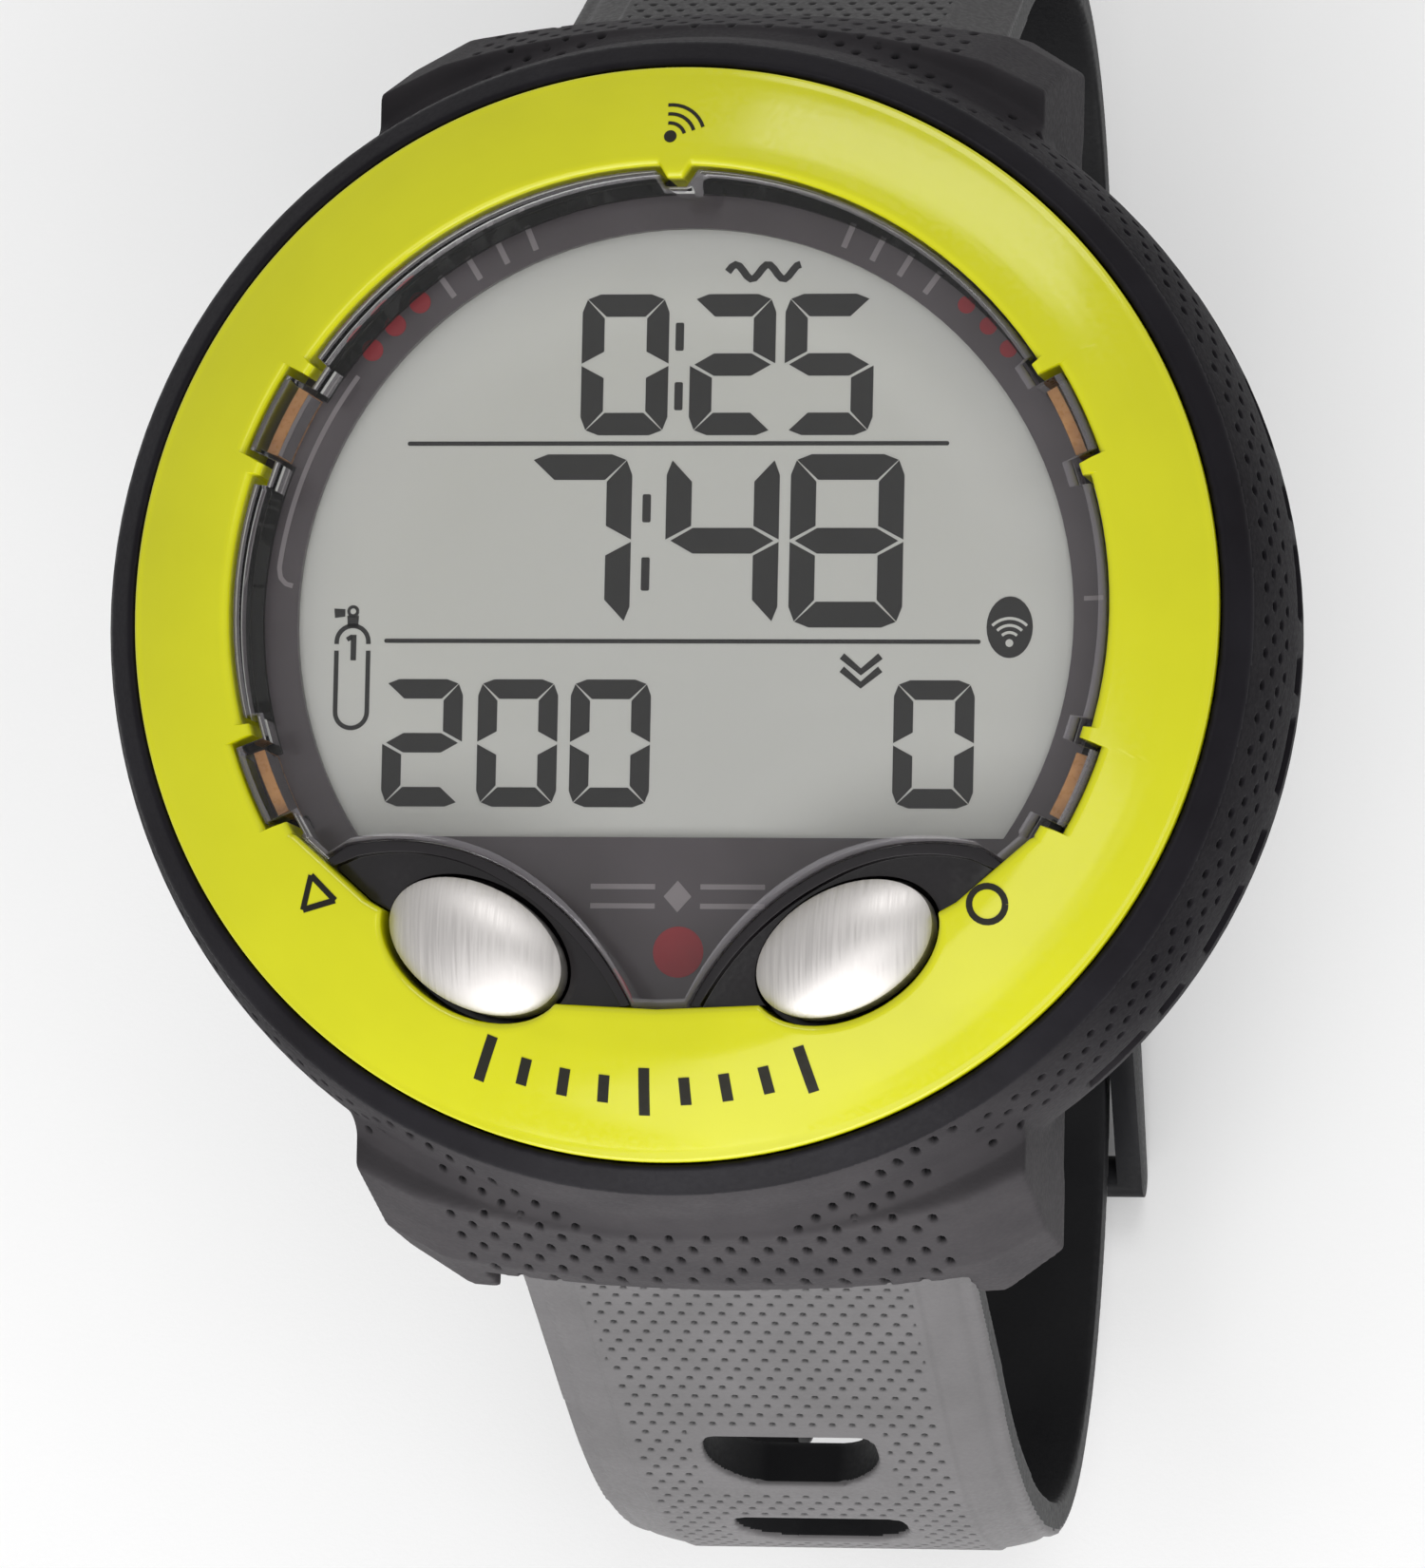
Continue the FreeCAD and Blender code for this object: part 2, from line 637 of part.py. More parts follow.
def hood_section(z, side_y, corner_y, middle_y):
    """One level of a lug hood: straight flanks, chamfered corners and a bowed front."""
    flank = Vector(LUG_HALF_W, side_y, z)
    corner = Vector(LUG_CORNER_X, corner_y, z)
    left_corner = Vector(-LUG_CORNER_X, corner_y, z)
    left_flank = Vector(-LUG_HALF_W, side_y, z)
    root = Vector(LUG_HALF_W, 20.0, z)
    left_root = Vector(-LUG_HALF_W, 20.0, z)
    edges = [
        Part.makeLine(root, flank),
        Part.makeLine(flank, corner),
        Part.Arc(corner, Vector(0, middle_y, z), left_corner).toShape(),
        Part.makeLine(left_corner, left_flank),
        Part.makeLine(left_flank, left_root),
        Part.makeLine(left_root, root),
    ]
    return Part.Wire(edges)


def lug_hood():
    """The hood over the strap end at 12 o'clock, before the strap slot is cut."""
    sections = [
        hood_section(22.0, 27.0, 29.4, 32.9),
        hood_section(15.0, 30.9, 32.6, 34.9),
        hood_section(6.5, 33.5, 35.4, 36.8),
        hood_section(LUG_FOOT_Z, 34.4, 36.5, 37.2),
    ]
    shape = Part.makeLoft(sections, True, True)
    shape = shape.cut(disc(CASE_BORE_R, LUG_FOOT_Z - 1, 30))
    heel = prism_yz([(20.0, 0.0), (29.5, 0.0), (34.0, LUG_FOOT_Z), (34.0, -6.0), (20.0, -6.0)], 30.0)
    shape = shape.cut(heel)
    for side in (-1, 1):
        flank = side * (LUG_HALF_W + 0.3)
        inner = side * (LUG_CORNER_X - 0.4)
        points = [(inner, LUG_FOOT_Z - 0.1), (flank, -0.3), (flank, -6.0), (inner, -6.0)]
        shape = shape.cut(prism_xz(points, 20.0, 45.0))
    return shape


def scoop():
    """The smooth hollow between the bevel and the hood, turned round the case's axis."""
    outline = [
        Part.makeLine(Vector(CASE_BEVEL_R, 0, 23.0), Vector(CASE_BEVEL_R, 0, CASE_BEVEL_Z)),
        Part.Arc(
            Vector(CASE_BEVEL_R, 0, CASE_BEVEL_Z),
            Vector(33.25, 0, 18.6),
            Vector(34.7, 0, 15.3),
        ).toShape(),
        Part.makeLine(Vector(34.7, 0, 15.3), Vector(38.0, 0, 15.3)),
        Part.makeLine(Vector(38.0, 0, 15.3), Vector(38.0, 0, 23.0)),
        Part.makeLine(Vector(38.0, 0, 23.0), Vector(CASE_BEVEL_R, 0, 23.0)),
    ]
    return Part.Face(Part.Wire(outline)).revolve(Vector(0, 0, 0), Z_AXIS, 360)


def outer_case():
    """The rubber case with a lug hood at each end, each with a strap slot and pin holes."""
    body = case_profile().revolve(Vector(0, 0, 0), Z_AXIS, 360)
    hood = lug_hood().cut(scoop())
    hood = hood.cut(disc(CASE_BORE_R + 0.5, LUG_FOOT_Z - 1, 30))
    far_hood = hood.mirror(Vector(0, 0, 0), Y_AXIS)
    shape = join(body, hood, far_hood)
    for side in (-1, 1):
        pocket = prism_yz(
            [
                (side * SLOT_WALL_Y, SLOT_TOP_Z),
                (side * HOOD_INNER_Y, SLOT_TOP_Z),
                (side * HOOD_INNER_Y, HOOD_EDGE_Z),
                (side * 40.0, HOOD_EDGE_Z),
                (side * 40.0, -6.0),
                (side * SLOT_WALL_Y, -6.0),
            ],
            SLOT_HALF_W,
        )
        shape = shape.cut(pocket)
        shape = shape.cut(cross_bar(PIN_R, PIN_HALF_L, side * PIN_Y, PIN_Z))
    return shape


def lug_pin(side):
    """The bar that holds a strap end between the lugs."""
    return cross_bar(PIN_R, PIN_HALF_L, side * PIN_Y, PIN_Z)


def strap_route(straight):
    """The straight runs and bends of a strap from its lug pin to the flat run under the wrist.

    Each step is its length and its turn in degrees. A positive turn leans outwards.
    """
    flare = STRAP_LEAN - STRAP_START_LEAN
    steps = [
        (2.5, 0.0),
        (26.0 * math.radians(flare), flare),
        (straight, 0.0),
        (47.0 * math.radians(STRAP_LEAN), -STRAP_LEAN),
        (20.0 * math.radians(60.0), -60.0),
        (34.0 * math.radians(30.0), -30.0),
    ]
    return steps


class Walker:
    """Walks a strap's centre line in the side view and keeps both faces' edges."""

    def __init__(self, side, y, z, lean):
        self.side = side
        self.y = y
        self.z = z
        self.lean = math.radians(lean)
        self.faces = {1: [], -1: []}

    def point(self, offset):
        """A point beside the centre line; a positive offset is on the outer face."""
        y = self.y + offset * math.cos(self.lean)
        z = self.z + offset * math.sin(self.lean)
        return Vector(0, self.side * y, z)

    def advance(self, length, turn):
        """Moves along the centre line while turning by an angle in radians."""
        half = turn / 2
        chord = length if turn == 0 else length * math.sin(half) / half
        heading = self.lean + half
        self.y += chord * math.sin(heading)
        self.z -= chord * math.cos(heading)
        self.lean += turn

    def step(self, length, turn_degrees):
        """Adds one straight run or bend to both faces."""
        turn = math.radians(turn_degrees)
        starts = {offset: self.point(offset * STRAP_T / 2) for offset in self.faces}
        self.advance(length / 2, turn / 2)
        middles = {offset: self.point(offset * STRAP_T / 2) for offset in self.faces}
        self.advance(length / 2, turn / 2)
        for offset, edges in self.faces.items():
            end = self.point(offset * STRAP_T / 2)
            if turn == 0:
                edges.append(Part.makeLine(starts[offset], end))
            else:
                edges.append(Part.Arc(starts[offset], middles[offset], end).toShape())

    def solid(self):
        """The strap as a slab as wide as at the lug."""
        first = Part.makeLine(self.faces[-1][0].Vertexes[0].Point, self.faces[1][0].Vertexes[0].Point)
        last = Part.makeLine(self.point(STRAP_T / 2), self.point(-STRAP_T / 2))
        edges = Part.sortEdges(self.faces[1] + self.faces[-1] + [first, last])[0]
        face = Part.Face(Part.Wire(edges))
        face.translate(Vector(-STRAP_HALF_W_LUG, 0, 0))
        return face.extrude(Vector(2 * STRAP_HALF_W_LUG, 0, 0))


def strap_walk(side, straight):
    """Walks from the lug pin to the start of the flat run."""
    walker = Walker(side, PIN_Y, PIN_Z, STRAP_START_LEAN)
    for length, turn in strap_route(straight):
        walker.step(length, turn)
    return walker


def strap_bottom_z():
    """The height of the long strap's centre line under the wrist."""
    return strap_walk(-1, STRAP_STRAIGHT).z


BOTTOM_Z = strap_bottom_z()
INNER_LAYER_Z = BOTTOM_Z + STRAP_T + STRAP_LAYER_GAP
BAR_Z = BOTTOM_Z + STRAP_T / 2 + STRAP_LAYER_GAP + BUCKLE_EYE_R


def taper():
    """The space inside which a strap narrows from the lug to the buckle."""
    right = [(STRAP_HALF_W_LUG, 10.0), (STRAP_HALF_W_LUG, 0.0), (STRAP_HALF_W_BUCKLE, BOTTOM_Z + 6.0)]
    right.append((STRAP_HALF_W_BUCKLE, BOTTOM_Z - 5.0))
    left = [(-x, z) for x, z in right[::-1]]
    return prism_xz(right + left, -60.0, 60.0)


def slot_tool():
    """One strap slot, lying flat: straight towards the lug, rounded towards the tip."""
    half = SLOT_W / 2
    shoulder = 0.9
    low = SLOT_L / 2
    edges = [
        Part.makeLine(Vector(-half + shoulder, -low, 0), Vector(half - shoulder, -low, 0)),
        Part.Arc(
            Vector(half - shoulder, -low, 0),
            Vector(half - shoulder * 0.3, -low + shoulder * 0.3, 0),
            Vector(half, -low + shoulder, 0),
        ).toShape(),
        Part.Arc(
            Vector(half, -low + shoulder, 0),
            Vector(0.78 * half, low * 0.62, 0),
            Vector(0.45 * half, low, 0),
        ).toShape(),
        Part.makeLine(Vector(0.45 * half, low, 0), Vector(-0.45 * half, low, 0)),
        Part.Arc(
            Vector(-0.45 * half, low, 0),
            Vector(-0.78 * half, low * 0.62, 0),
            Vector(-half, -low + shoulder, 0),
        ).toShape(),
        Part.Arc(
            Vector(-half, -low + shoulder, 0),
            Vector(-half + shoulder * 0.3, -low + shoulder * 0.3, 0),
            Vector(-half + shoulder, -low, 0),
        ).toShape(),
    ]
    face = Part.Face(Part.Wire(edges))
    face.translate(Vector(0, 0, -STRAP_T))
    return face.extrude(Vector(0, 0, 2 * STRAP_T))


def strap_place(distance):
    """The long strap's centre line at a distance from its lug pin."""
    walker = Walker(-1, PIN_Y, PIN_Z, STRAP_START_LEAN)
    left = distance
    for length, turn in strap_route(STRAP_STRAIGHT):
        used = min(left, length)
        walker.advance(used, math.radians(turn) * used / length)
        left -= used
    walker.advance(left, 0.0)
    return walker


def strap_lower():
    """The long strap at 6 o'clock, with its adjustment slots, running under the wrist to its tip."""
    walker = strap_walk(-1, STRAP_STRAIGHT)
    flat = walker.y + STRAP_TIP_Y
    walker.step(flat, 0.0)
    shape = join(walker.solid().common(taper()), strap_knuckle(-1))
    shape = shape.cut(cross_bar(PIN_R, PIN_HALF_L, -PIN_Y, PIN_Z))
    for corner in tip_corners():
        shape = shape.cut(corner)
    for place in slot_places():
        shape = shape.cut(place)
    return shape


def slot_places():
    """The slots, evenly spaced along the long strap."""
    tools = []
    for index in range(SLOT_COUNT):
        place = strap_place(SLOT_FIRST + index * SLOT_PITCH)
        tool = slot_tool()
        tool.rotate(Vector(0, 0, 0), X_AXIS, -90.0 - math.degrees(place.lean))
        tool.translate(Vector(0, -place.y, place.z))
        tools.append(tool)
    return tools


def tip_corners():
    """The two pieces taken off the strap tip to round it."""
    corners = []
    for side in (-1, 1):
        square = block(-10.0, 0.0, -10.0, 0.0, BOTTOM_Z - 5, BOTTOM_Z + 1.6)
        square = square.cut(Part.makeCylinder(10.0, 20.0, Vector(-10.0, -10.0, BOTTOM_Z - 8)))
        square.translate(Vector(STRAP_HALF_W_BUCKLE, STRAP_TIP_Y, 0))
        if side < 0:
            square = square.mirror(Vector(0, 0, 0), X_AXIS)
        corners.append(square)
    return corners


def strap_knuckle(side):
    """The rounded end of a strap round its lug pin."""
    return cross_bar(KNUCKLE_R, STRAP_HALF_W_LUG, side * PIN_Y, PIN_Z)


SHORT_STRAIGHT = STRAP_STRAIGHT - (STRAP_T + STRAP_LAYER_GAP) / math.cos(math.radians(STRAP_LEAN))


def strap_upper():
    """The short strap at 12 o'clock, running under the wrist to the buckle bar."""
    walker = strap_walk(1, SHORT_STRAIGHT)
    walker.step(walker.y - BUCKLE_BAR_Y, 0.0)
    shape = walker.solid().common(taper())
    knuckle = cross_bar(BUCKLE_EYE_R, STRAP_HALF_W_BUCKLE, BUCKLE_BAR_Y, BAR_Z)
    shape = join(shape, knuckle, strap_knuckle(1))
    shape = shape.cut(cross_bar(PIN_R, PIN_HALF_L, PIN_Y, PIN_Z))
    shape = shape.cut(cross_bar(BUCKLE_BAR_R, 20.0, BUCKLE_BAR_Y, BAR_Z))
    slit = TANG_HALF_W + 0.35
    return shape.cut(block(-slit, slit, BUCKLE_BAR_Y - 4, BUCKLE_BAR_Y + 2.6, BAR_Z - 4, BAR_Z + 4))


def buckle_bar():
    """The pivot bar at the end of the short strap."""
    return cross_bar(BUCKLE_BAR_R, BUCKLE_OUTER_HALF_W, BUCKLE_BAR_Y, BAR_Z)


def hull_yz(start, start_r, end, end_r, x0, x1):
    """A flat link between two rounds in the side view."""
    dy = end[0] - start[0]
    dz = end[1] - start[1]
    length = math.hypot(dy, dz)
    tilt = math.acos((start_r - end_r) / length)
    heading = math.atan2(dz, dy)
    corners = []
    for sign in (1, -1):
        angle = heading + sign * tilt
        unit = (math.cos(angle), math.sin(angle))
        corners.append((start[0] + start_r * unit[0], start[1] + start_r * unit[1]))
        corners.append((end[0] + end_r * unit[0], end[1] + end_r * unit[1]))
    points = [corners[0], corners[1], corners[3], corners[2]]
    wire = Part.makePolygon([Vector(x0, y, z) for y, z in points + points[:1]])
    web = Part.Face(wire).extrude(Vector(x1 - x0, 0, 0))
    first = Part.makeCylinder(start_r, x1 - x0, Vector(x0, start[0], start[1]), X_AXIS)
    last = Part.makeCylinder(end_r, x1 - x0, Vector(x0, end[0], end[1]), X_AXIS)
    return join(web, first, last)


def front_bar_z():
    """The height of the buckle's front bar, outside the long strap."""
    return BOTTOM_Z - STRAP_T / 2 - 0.35 - BUCKLE_FRONT_R


def buckle_frame():
    """The buckle: two side arms and a front bar with a rest for the tang."""
    front = (BUCKLE_FRONT_Y, front_bar_z())
    eye = (BUCKLE_BAR_Y, BAR_Z)
    arms = []
    for side in (-1, 1):
        x0 = min(side * BUCKLE_INNER_HALF_W, side * BUCKLE_OUTER_HALF_W)
        x1 = max(side * BUCKLE_INNER_HALF_W, side * BUCKLE_OUTER_HALF_W)
        arms.append(hull_yz(eye, BUCKLE_EYE_R, front, BUCKLE_FRONT_R, x0, x1))
    bar = cross_bar(BUCKLE_FRONT_R, BUCKLE_OUTER_HALF_W, front[0], front[1])
    shape = join(arms[0], arms[1], bar)
    shape = shape.cut(cross_bar(BUCKLE_BAR_R + HINGE_CLEARANCE, 20.0, BUCKLE_BAR_Y, BAR_Z))
    notch = block(-1.4, 1.4, front[0] - 3, front[0] + 3, front[1] - 3, front[1] - 0.35)
    return shape.cut(notch)


def buckle_tang():
    """The tang: an eye round the bar, a bend through the strap slot and a tip on the front bar."""
    slot_y = -strap_place(SLOT_FIRST + SLOT_ENGAGED * SLOT_PITCH).y
    rest_z = front_bar_z() - 0.45 - TANG_R
    route = [
        (BUCKLE_BAR_Y, BAR_Z),
        (slot_y + 0.8, BAR_Z - 0.5),
        (slot_y - 2.4, rest_z),
        (BUCKLE_FRONT_Y - 0.9, rest_z),
    ]
    parts = []
    for start, end in zip(route, route[1:]):
        parts.append(hull_yz(start, TANG_R, end, TANG_R, -TANG_HALF_W, TANG_HALF_W))
    eye = cross_bar(1.65, TANG_HALF_W, BUCKLE_BAR_Y, BAR_Z)
    shape = join(parts[0], parts[1], parts[2], eye)
    return shape.cut(cross_bar(BUCKLE_BAR_R + HINGE_CLEARANCE, 20.0, BUCKLE_BAR_Y, BAR_Z))


def keeper(y, gap):
    """A loop round both strap layers, centred at y, with a gap to them."""
    low = BOTTOM_Z - STRAP_T / 2 - gap
    high = INNER_LAYER_Z + STRAP_T / 2 + gap
    half = STRAP_HALF_W_BUCKLE + gap
    wide = half + KEEPER_T
    outer = block(-wide, wide, y - KEEPER_L / 2, y + KEEPER_L / 2, low - KEEPER_T, high + KEEPER_T)
    upright = [edge for edge in outer.Edges if abs(edge.tangentAt(edge.FirstParameter).y) > 0.9]
    outer = outer.makeFillet(1.1, upright)
    return outer.cut(block(-half, half, y - KEEPER_L, y + KEEPER_L, low, high))


def button_frame(side):
    """The gloss recess round a button, with a raised brow and a floor for the spring."""
    seat = BEZEL_SEAT_Z
    inside = prism_xy(chin_outline(), seat, FRAME_RIM_Z + 1, -0.1)
    shape = almond(side, 0.0, seat, FRAME_RIM_Z).common(inside)
    shape = shape.cut(almond(side, 0.6, FRAME_TOP_Z, FRAME_RIM_Z + 1))
    shape = join(shape, oval(side, BUTTON_GAP + 0.05, seat, FRAME_FLOOR_Z))
    shape = shape.cut(oval(side, BUTTON_GAP, FRAME_FLOOR_Z, FRAME_RIM_Z + 1))
    return shape.cut(disc(2.6, seat - 1, FRAME_FLOOR_Z + 1, side * BUTTON_X, BUTTON_Y))


def button_cap(side):
    """The domed oval button."""
    dome = Part.makeSphere(1.0)
    stretch = FreeCAD.Matrix()
    stretch.scale(Vector(BUTTON_A * DOME_SPREAD, BUTTON_B * DOME_SPREAD, DOME_H))
    dome = dome.transformGeometry(stretch)
    dome.rotate(Vector(0, 0, 0), Z_AXIS, side * BUTTON_TILT)
    dome.translate(Vector(side * BUTTON_X, BUTTON_Y, BUTTON_DOME_Z - DOME_H))
    return oval(side, 0.0, BUTTON_FOOT_Z, BUTTON_DOME_Z + 1).common(dome)


def button_stem(side):
    """The stem under a button, with grooves for its seal and its clip."""
    x = side * BUTTON_X
    shape = disc(STEM_R, STEM_FOOT_Z, BUTTON_FOOT_Z, x, BUTTON_Y)
    shape = shape.cut(ring(STEM_R + 1, GROOVE_R, 18.95, 19.55, x, BUTTON_Y))
    return shape.cut(ring(STEM_R + 1, GROOVE_R, 17.7, 18.38, x, BUTTON_Y))


def button_seal(side):
    """The O-ring in the stem's groove."""
    return Part.makeTorus(1.075, 0.215, Vector(side * BUTTON_X, BUTTON_Y, 19.25))


def button_clip(side):
    """The open retaining clip that stops the stem from leaving its bore."""
    x = side * BUTTON_X
    shape = ring(2.2, GROOVE_R, 17.74, 18.34, x, BUTTON_Y)
    return shape.cut(block(x - 0.6, x + 0.6, BUTTON_Y - 3, BUTTON_Y, 17, 19))


def button_spring(side):
    """The return spring round a stem: coils joined end to end between the deck and the button."""
    x = side * BUTTON_X
    low = DIAL_Z + SPRING_WIRE_R + 0.02
    high = BUTTON_FOOT_Z - SPRING_WIRE_R - 0.02
    pitch = (high - low) / (SPRING_COILS - 1)
    coils = []
    for index in range(SPRING_COILS):
        coils.append(Part.makeTorus(SPRING_R, SPRING_WIRE_R, Vector(x, BUTTON_Y, low + index * pitch)))
    bridges = []
    for index in range(SPRING_COILS - 1):
        turn = math.pi * index
        start = Vector(SPRING_R * math.cos(turn), SPRING_R * math.sin(turn), low + index * pitch)
        start += Vector(x, BUTTON_Y, 0)
        bridges.append(Part.makeCylinder(SPRING_WIRE_R * 0.9, pitch, start))
    return join(coils[0], *coils[1:], *bridges)


SIDES = {"left": -1, "right": 1}

NODES = {
    "outer_case": outer_case,
    "module_housing": module_housing,
    "bezel_ring": bezel_ring,
    "display_lens": display_lens,
    "lens_gasket": lens_gasket,
    "bezel_clips": bezel_clips,
    "dial_ring": dial_ring,
    "lcd_glass": lambda: clipped_disc(LCD_R, LCD_FLAT_Y, LCD_Z, LCD_Z + LCD_T),
    "backlight_panel": backlight_panel,
    "lcd_frame": lcd_frame,
    "contact_strips": contact_strips,
    "circuit_board": circuit_board,
    "board_chips": board_chips,
    "board_screws": board_screws,
    "radio_antenna": radio_antenna,
    "button_switches": button_switches,
    "depth_sensor": depth_sensor,
    "sensor_port_cover": sensor_port_cover,
    "piezo_buzzer": piezo_buzzer,
    "water_contacts": water_contacts,
    "back_plate": back_plate,
    "back_screws": back_screws,
    "battery_hatch": battery_hatch,
    "hatch_seal": hatch_seal,
    "hatch_retaining_ring": hatch_retaining_ring,
    "battery_cell": battery_cell,
    "battery_spring_contact": battery_spring_contact,
    "battery_side_contact": battery_side_contact,
    "lug_pin_lower": lambda: lug_pin(-1),
    "lug_pin_upper": lambda: lug_pin(1),
    "strap_lower": strap_lower,
    "strap_upper": strap_upper,
    "buckle_bar": buckle_bar,
    "buckle_frame": buckle_frame,
    "buckle_tang": buckle_tang,
    "strap_keeper_fixed": lambda: keeper(KEEPER_FIXED_Y, KEEPER_FIXED_GAP),
    "strap_keeper_sliding": lambda: keeper(KEEPER_SLIDING_Y, KEEPER_SLIDING_GAP),
}

for word, sign in SIDES.items():
    NODES["button_frame_" + word] = lambda sign=sign: button_frame(sign)
    NODES["button_cap_" + word] = lambda sign=sign: button_cap(sign)
    NODES["button_stem_" + word] = lambda sign=sign: button_stem(sign)
    NODES["button_seal_" + word] = lambda sign=sign: button_seal(sign)
    NODES["button_clip_" + word] = lambda sign=sign: button_clip(sign)
    NODES["button_spring_" + word] = lambda sign=sign: button_spring(sign)

os.makedirs("parts", exist_ok=True)
for node, make in NODES.items():
    solid = make()
    solid.exportStep("parts/" + node + ".step")
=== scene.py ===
import math

import bmesh
import bpy
import numpy as np
from mathutils import Matrix, Quaternion, Vector
from mathutils.bvhtree import BVHTree


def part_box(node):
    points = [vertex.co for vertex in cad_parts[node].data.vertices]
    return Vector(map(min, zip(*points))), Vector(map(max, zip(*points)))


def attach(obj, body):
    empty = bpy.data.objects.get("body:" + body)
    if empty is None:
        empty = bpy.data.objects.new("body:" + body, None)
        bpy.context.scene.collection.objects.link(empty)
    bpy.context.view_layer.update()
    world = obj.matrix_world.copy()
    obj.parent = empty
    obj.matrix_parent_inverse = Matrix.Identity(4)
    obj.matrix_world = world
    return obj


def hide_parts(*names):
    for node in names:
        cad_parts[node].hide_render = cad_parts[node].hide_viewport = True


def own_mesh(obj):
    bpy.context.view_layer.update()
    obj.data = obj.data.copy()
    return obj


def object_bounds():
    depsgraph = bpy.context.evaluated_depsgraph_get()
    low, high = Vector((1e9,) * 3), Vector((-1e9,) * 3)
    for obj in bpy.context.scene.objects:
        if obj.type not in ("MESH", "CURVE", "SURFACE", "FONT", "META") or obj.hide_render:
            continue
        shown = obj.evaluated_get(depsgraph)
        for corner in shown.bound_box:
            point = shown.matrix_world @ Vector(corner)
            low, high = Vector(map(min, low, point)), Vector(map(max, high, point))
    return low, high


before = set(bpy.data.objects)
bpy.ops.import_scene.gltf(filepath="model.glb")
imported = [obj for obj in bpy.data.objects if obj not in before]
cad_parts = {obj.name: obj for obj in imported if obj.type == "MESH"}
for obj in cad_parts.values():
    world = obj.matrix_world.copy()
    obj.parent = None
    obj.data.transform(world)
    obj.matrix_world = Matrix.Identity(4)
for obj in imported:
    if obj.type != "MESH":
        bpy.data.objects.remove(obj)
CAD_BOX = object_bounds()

# A wrist dive computer, seen almost straight on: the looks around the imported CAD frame.
# Sizes are in millimetres and turn into metres through MM.
MM = 0.001

# Camera: the display is seen from a little right of its axis and a little below it
CAMERA_SIDE = math.radians(10.152)
CAMERA_LIFT = math.radians(5.479)
CAMERA_ROLL = math.radians(1.2)
CAMERA_DISTANCE = 700.0
CAMERA_LENS = 285.65
CAMERA_SENSOR = 36.0
RING_Z = 24.0
RING_OFFSET = (-2.251, 9.667)
FLOOR_GAP = 0.05

# Light: name, place, target, size, power in watts and turn about its own axis in degrees
SKY_STRENGTH = 0.62
FLOOR_HALF = 1500.0
LIGHTS = (
    ("front_soft", (20, -430, 130), (0, 0, -15), (460, 300), 1.6, 0.0),
    ("strip_soft", (75, -230, 430), (0, 0, 10), (520, 240), 0.72, 33.0),
    ("rear_soft", (110, 380, 340), (0, 0, 10), (300, 180), 0.6, 0.0),
)

# Case: a zone is the part of the skin whose faces are split for the dots
CASE_VOXEL = 0.24
CASE_BEVEL_R = 32.9
CASE_BEVEL_Z = 22.2
HOOD_FRONT_Y = 28.5
HOOD_ZONE_HALF_X = 19.5
HOOD_ZONE_Z = (2.0, 21.5)
WALL_ZONE_R = 32.0
WALL_ZONE_HALF_X = 16.0
WALL_ZONE_Z = (12.5, 22.0)
CASE_WALL_R = 33.3
CASE_DOT_DEPTH = 0.5
HOOD_DOT_PITCH = 2.14
HOOD_DOT_ROW = 0.66
HOOD_DOT_R = 0.29
HOOD_DOT_FIRST = 33.26
HOOD_DOT_LAST = 36.2
HOOD_DOT_HALF_X = 14.6
HOOD_ROW_LEAN = math.radians(5.4)
HOOD_FACING = 0.3
# Share of the painted light that the upper hood gets, against the lower hood
UPPER_HOOD_PAINTED_LIGHT = 0.45
WALL_FACING = 0.5
WALL_DOT_PITCH = 1.85
WALL_DOT_ROW = 1.35
WALL_DOT_R = 0.3
WALL_DOT_STRETCH = 1.3
WALL_DOT_TURN = math.radians(60.0)
WALL_DOT_LOW_Z = 16.0
WALL_DOT_HIGH_Z = 20.9
GRIP_Z = (10.4, 13.1)
GRIP_DEPTH = 0.65
GRIP_PITCH = 9.8
GRIP_RECESSES = ((0.9, 4.5), (6.5, 2.3))
GRIP_TURN = math.radians(52.0)
GRIP_R = 32.5

# Straps
STRAP_VOXEL = 0.24
STRAP_T = 3.0
STRAP_BORDER = 3.3
STRAP_EDGE_DROP = 0.85
STRAP_STEP = 0.16
STRAP_DOT_PITCH = 1.2
STRAP_DOT_ROW = 1.05
STRAP_DOT_R = 0.27
STRAP_DOT_DEPTH = 0.16
STRAP_START_LEAN = 10.0
STRAP_LEAN = 28.0
STRAP_STRAIGHT = 15.0
STRAP_ROOT = 2.5
STRAP_TAIL = 80.0
FLARE_R = 26.0
SIDE_R = 47.0
CORNER_R = 20.0
CORNER_TURN = 60.0
FAR_R = 34.0
FAR_TURN = 30.0
NARROW_ABOVE_FOOT = 6.0
LONG_DOTS_END = 150.0
SHORT_DOTS_END = 82.0
STRAP_LAYER_GAP = 0.3
SLOT_FIRST = 28.85
SLOT_PITCH = 12.05
SLOT_COUNT = 8
SLOT_PLAIN = (3.9, 6.0)
# Painted shade in the slots: half length along the strap and half width
SLOT_SHADE = (3.4, 5.5)

# Bezel, lens and dial
TURN_STEPS = 1440
CROWN_SPAN = (22.7, 30.95)
CROWN_SAMPLES = 80
ABOVE_ALL = 40.0
BEZEL_CAST_Z = 23.0
BEZEL_EDGE_ROUND = 0.4
BEZEL_RIM_ROUND = 0.3
BEZEL_STEP_R = 29.3
BEZEL_RIM_DROP = 0.9
SHARP_ANGLE = math.radians(50)
LENS_EDGE_ROUND = 0.45
CLIP_GAP = 0.03
PRINT_T = 0.03
PRINT_LIFT = 0.01
SEGMENT_GAP = 0.14

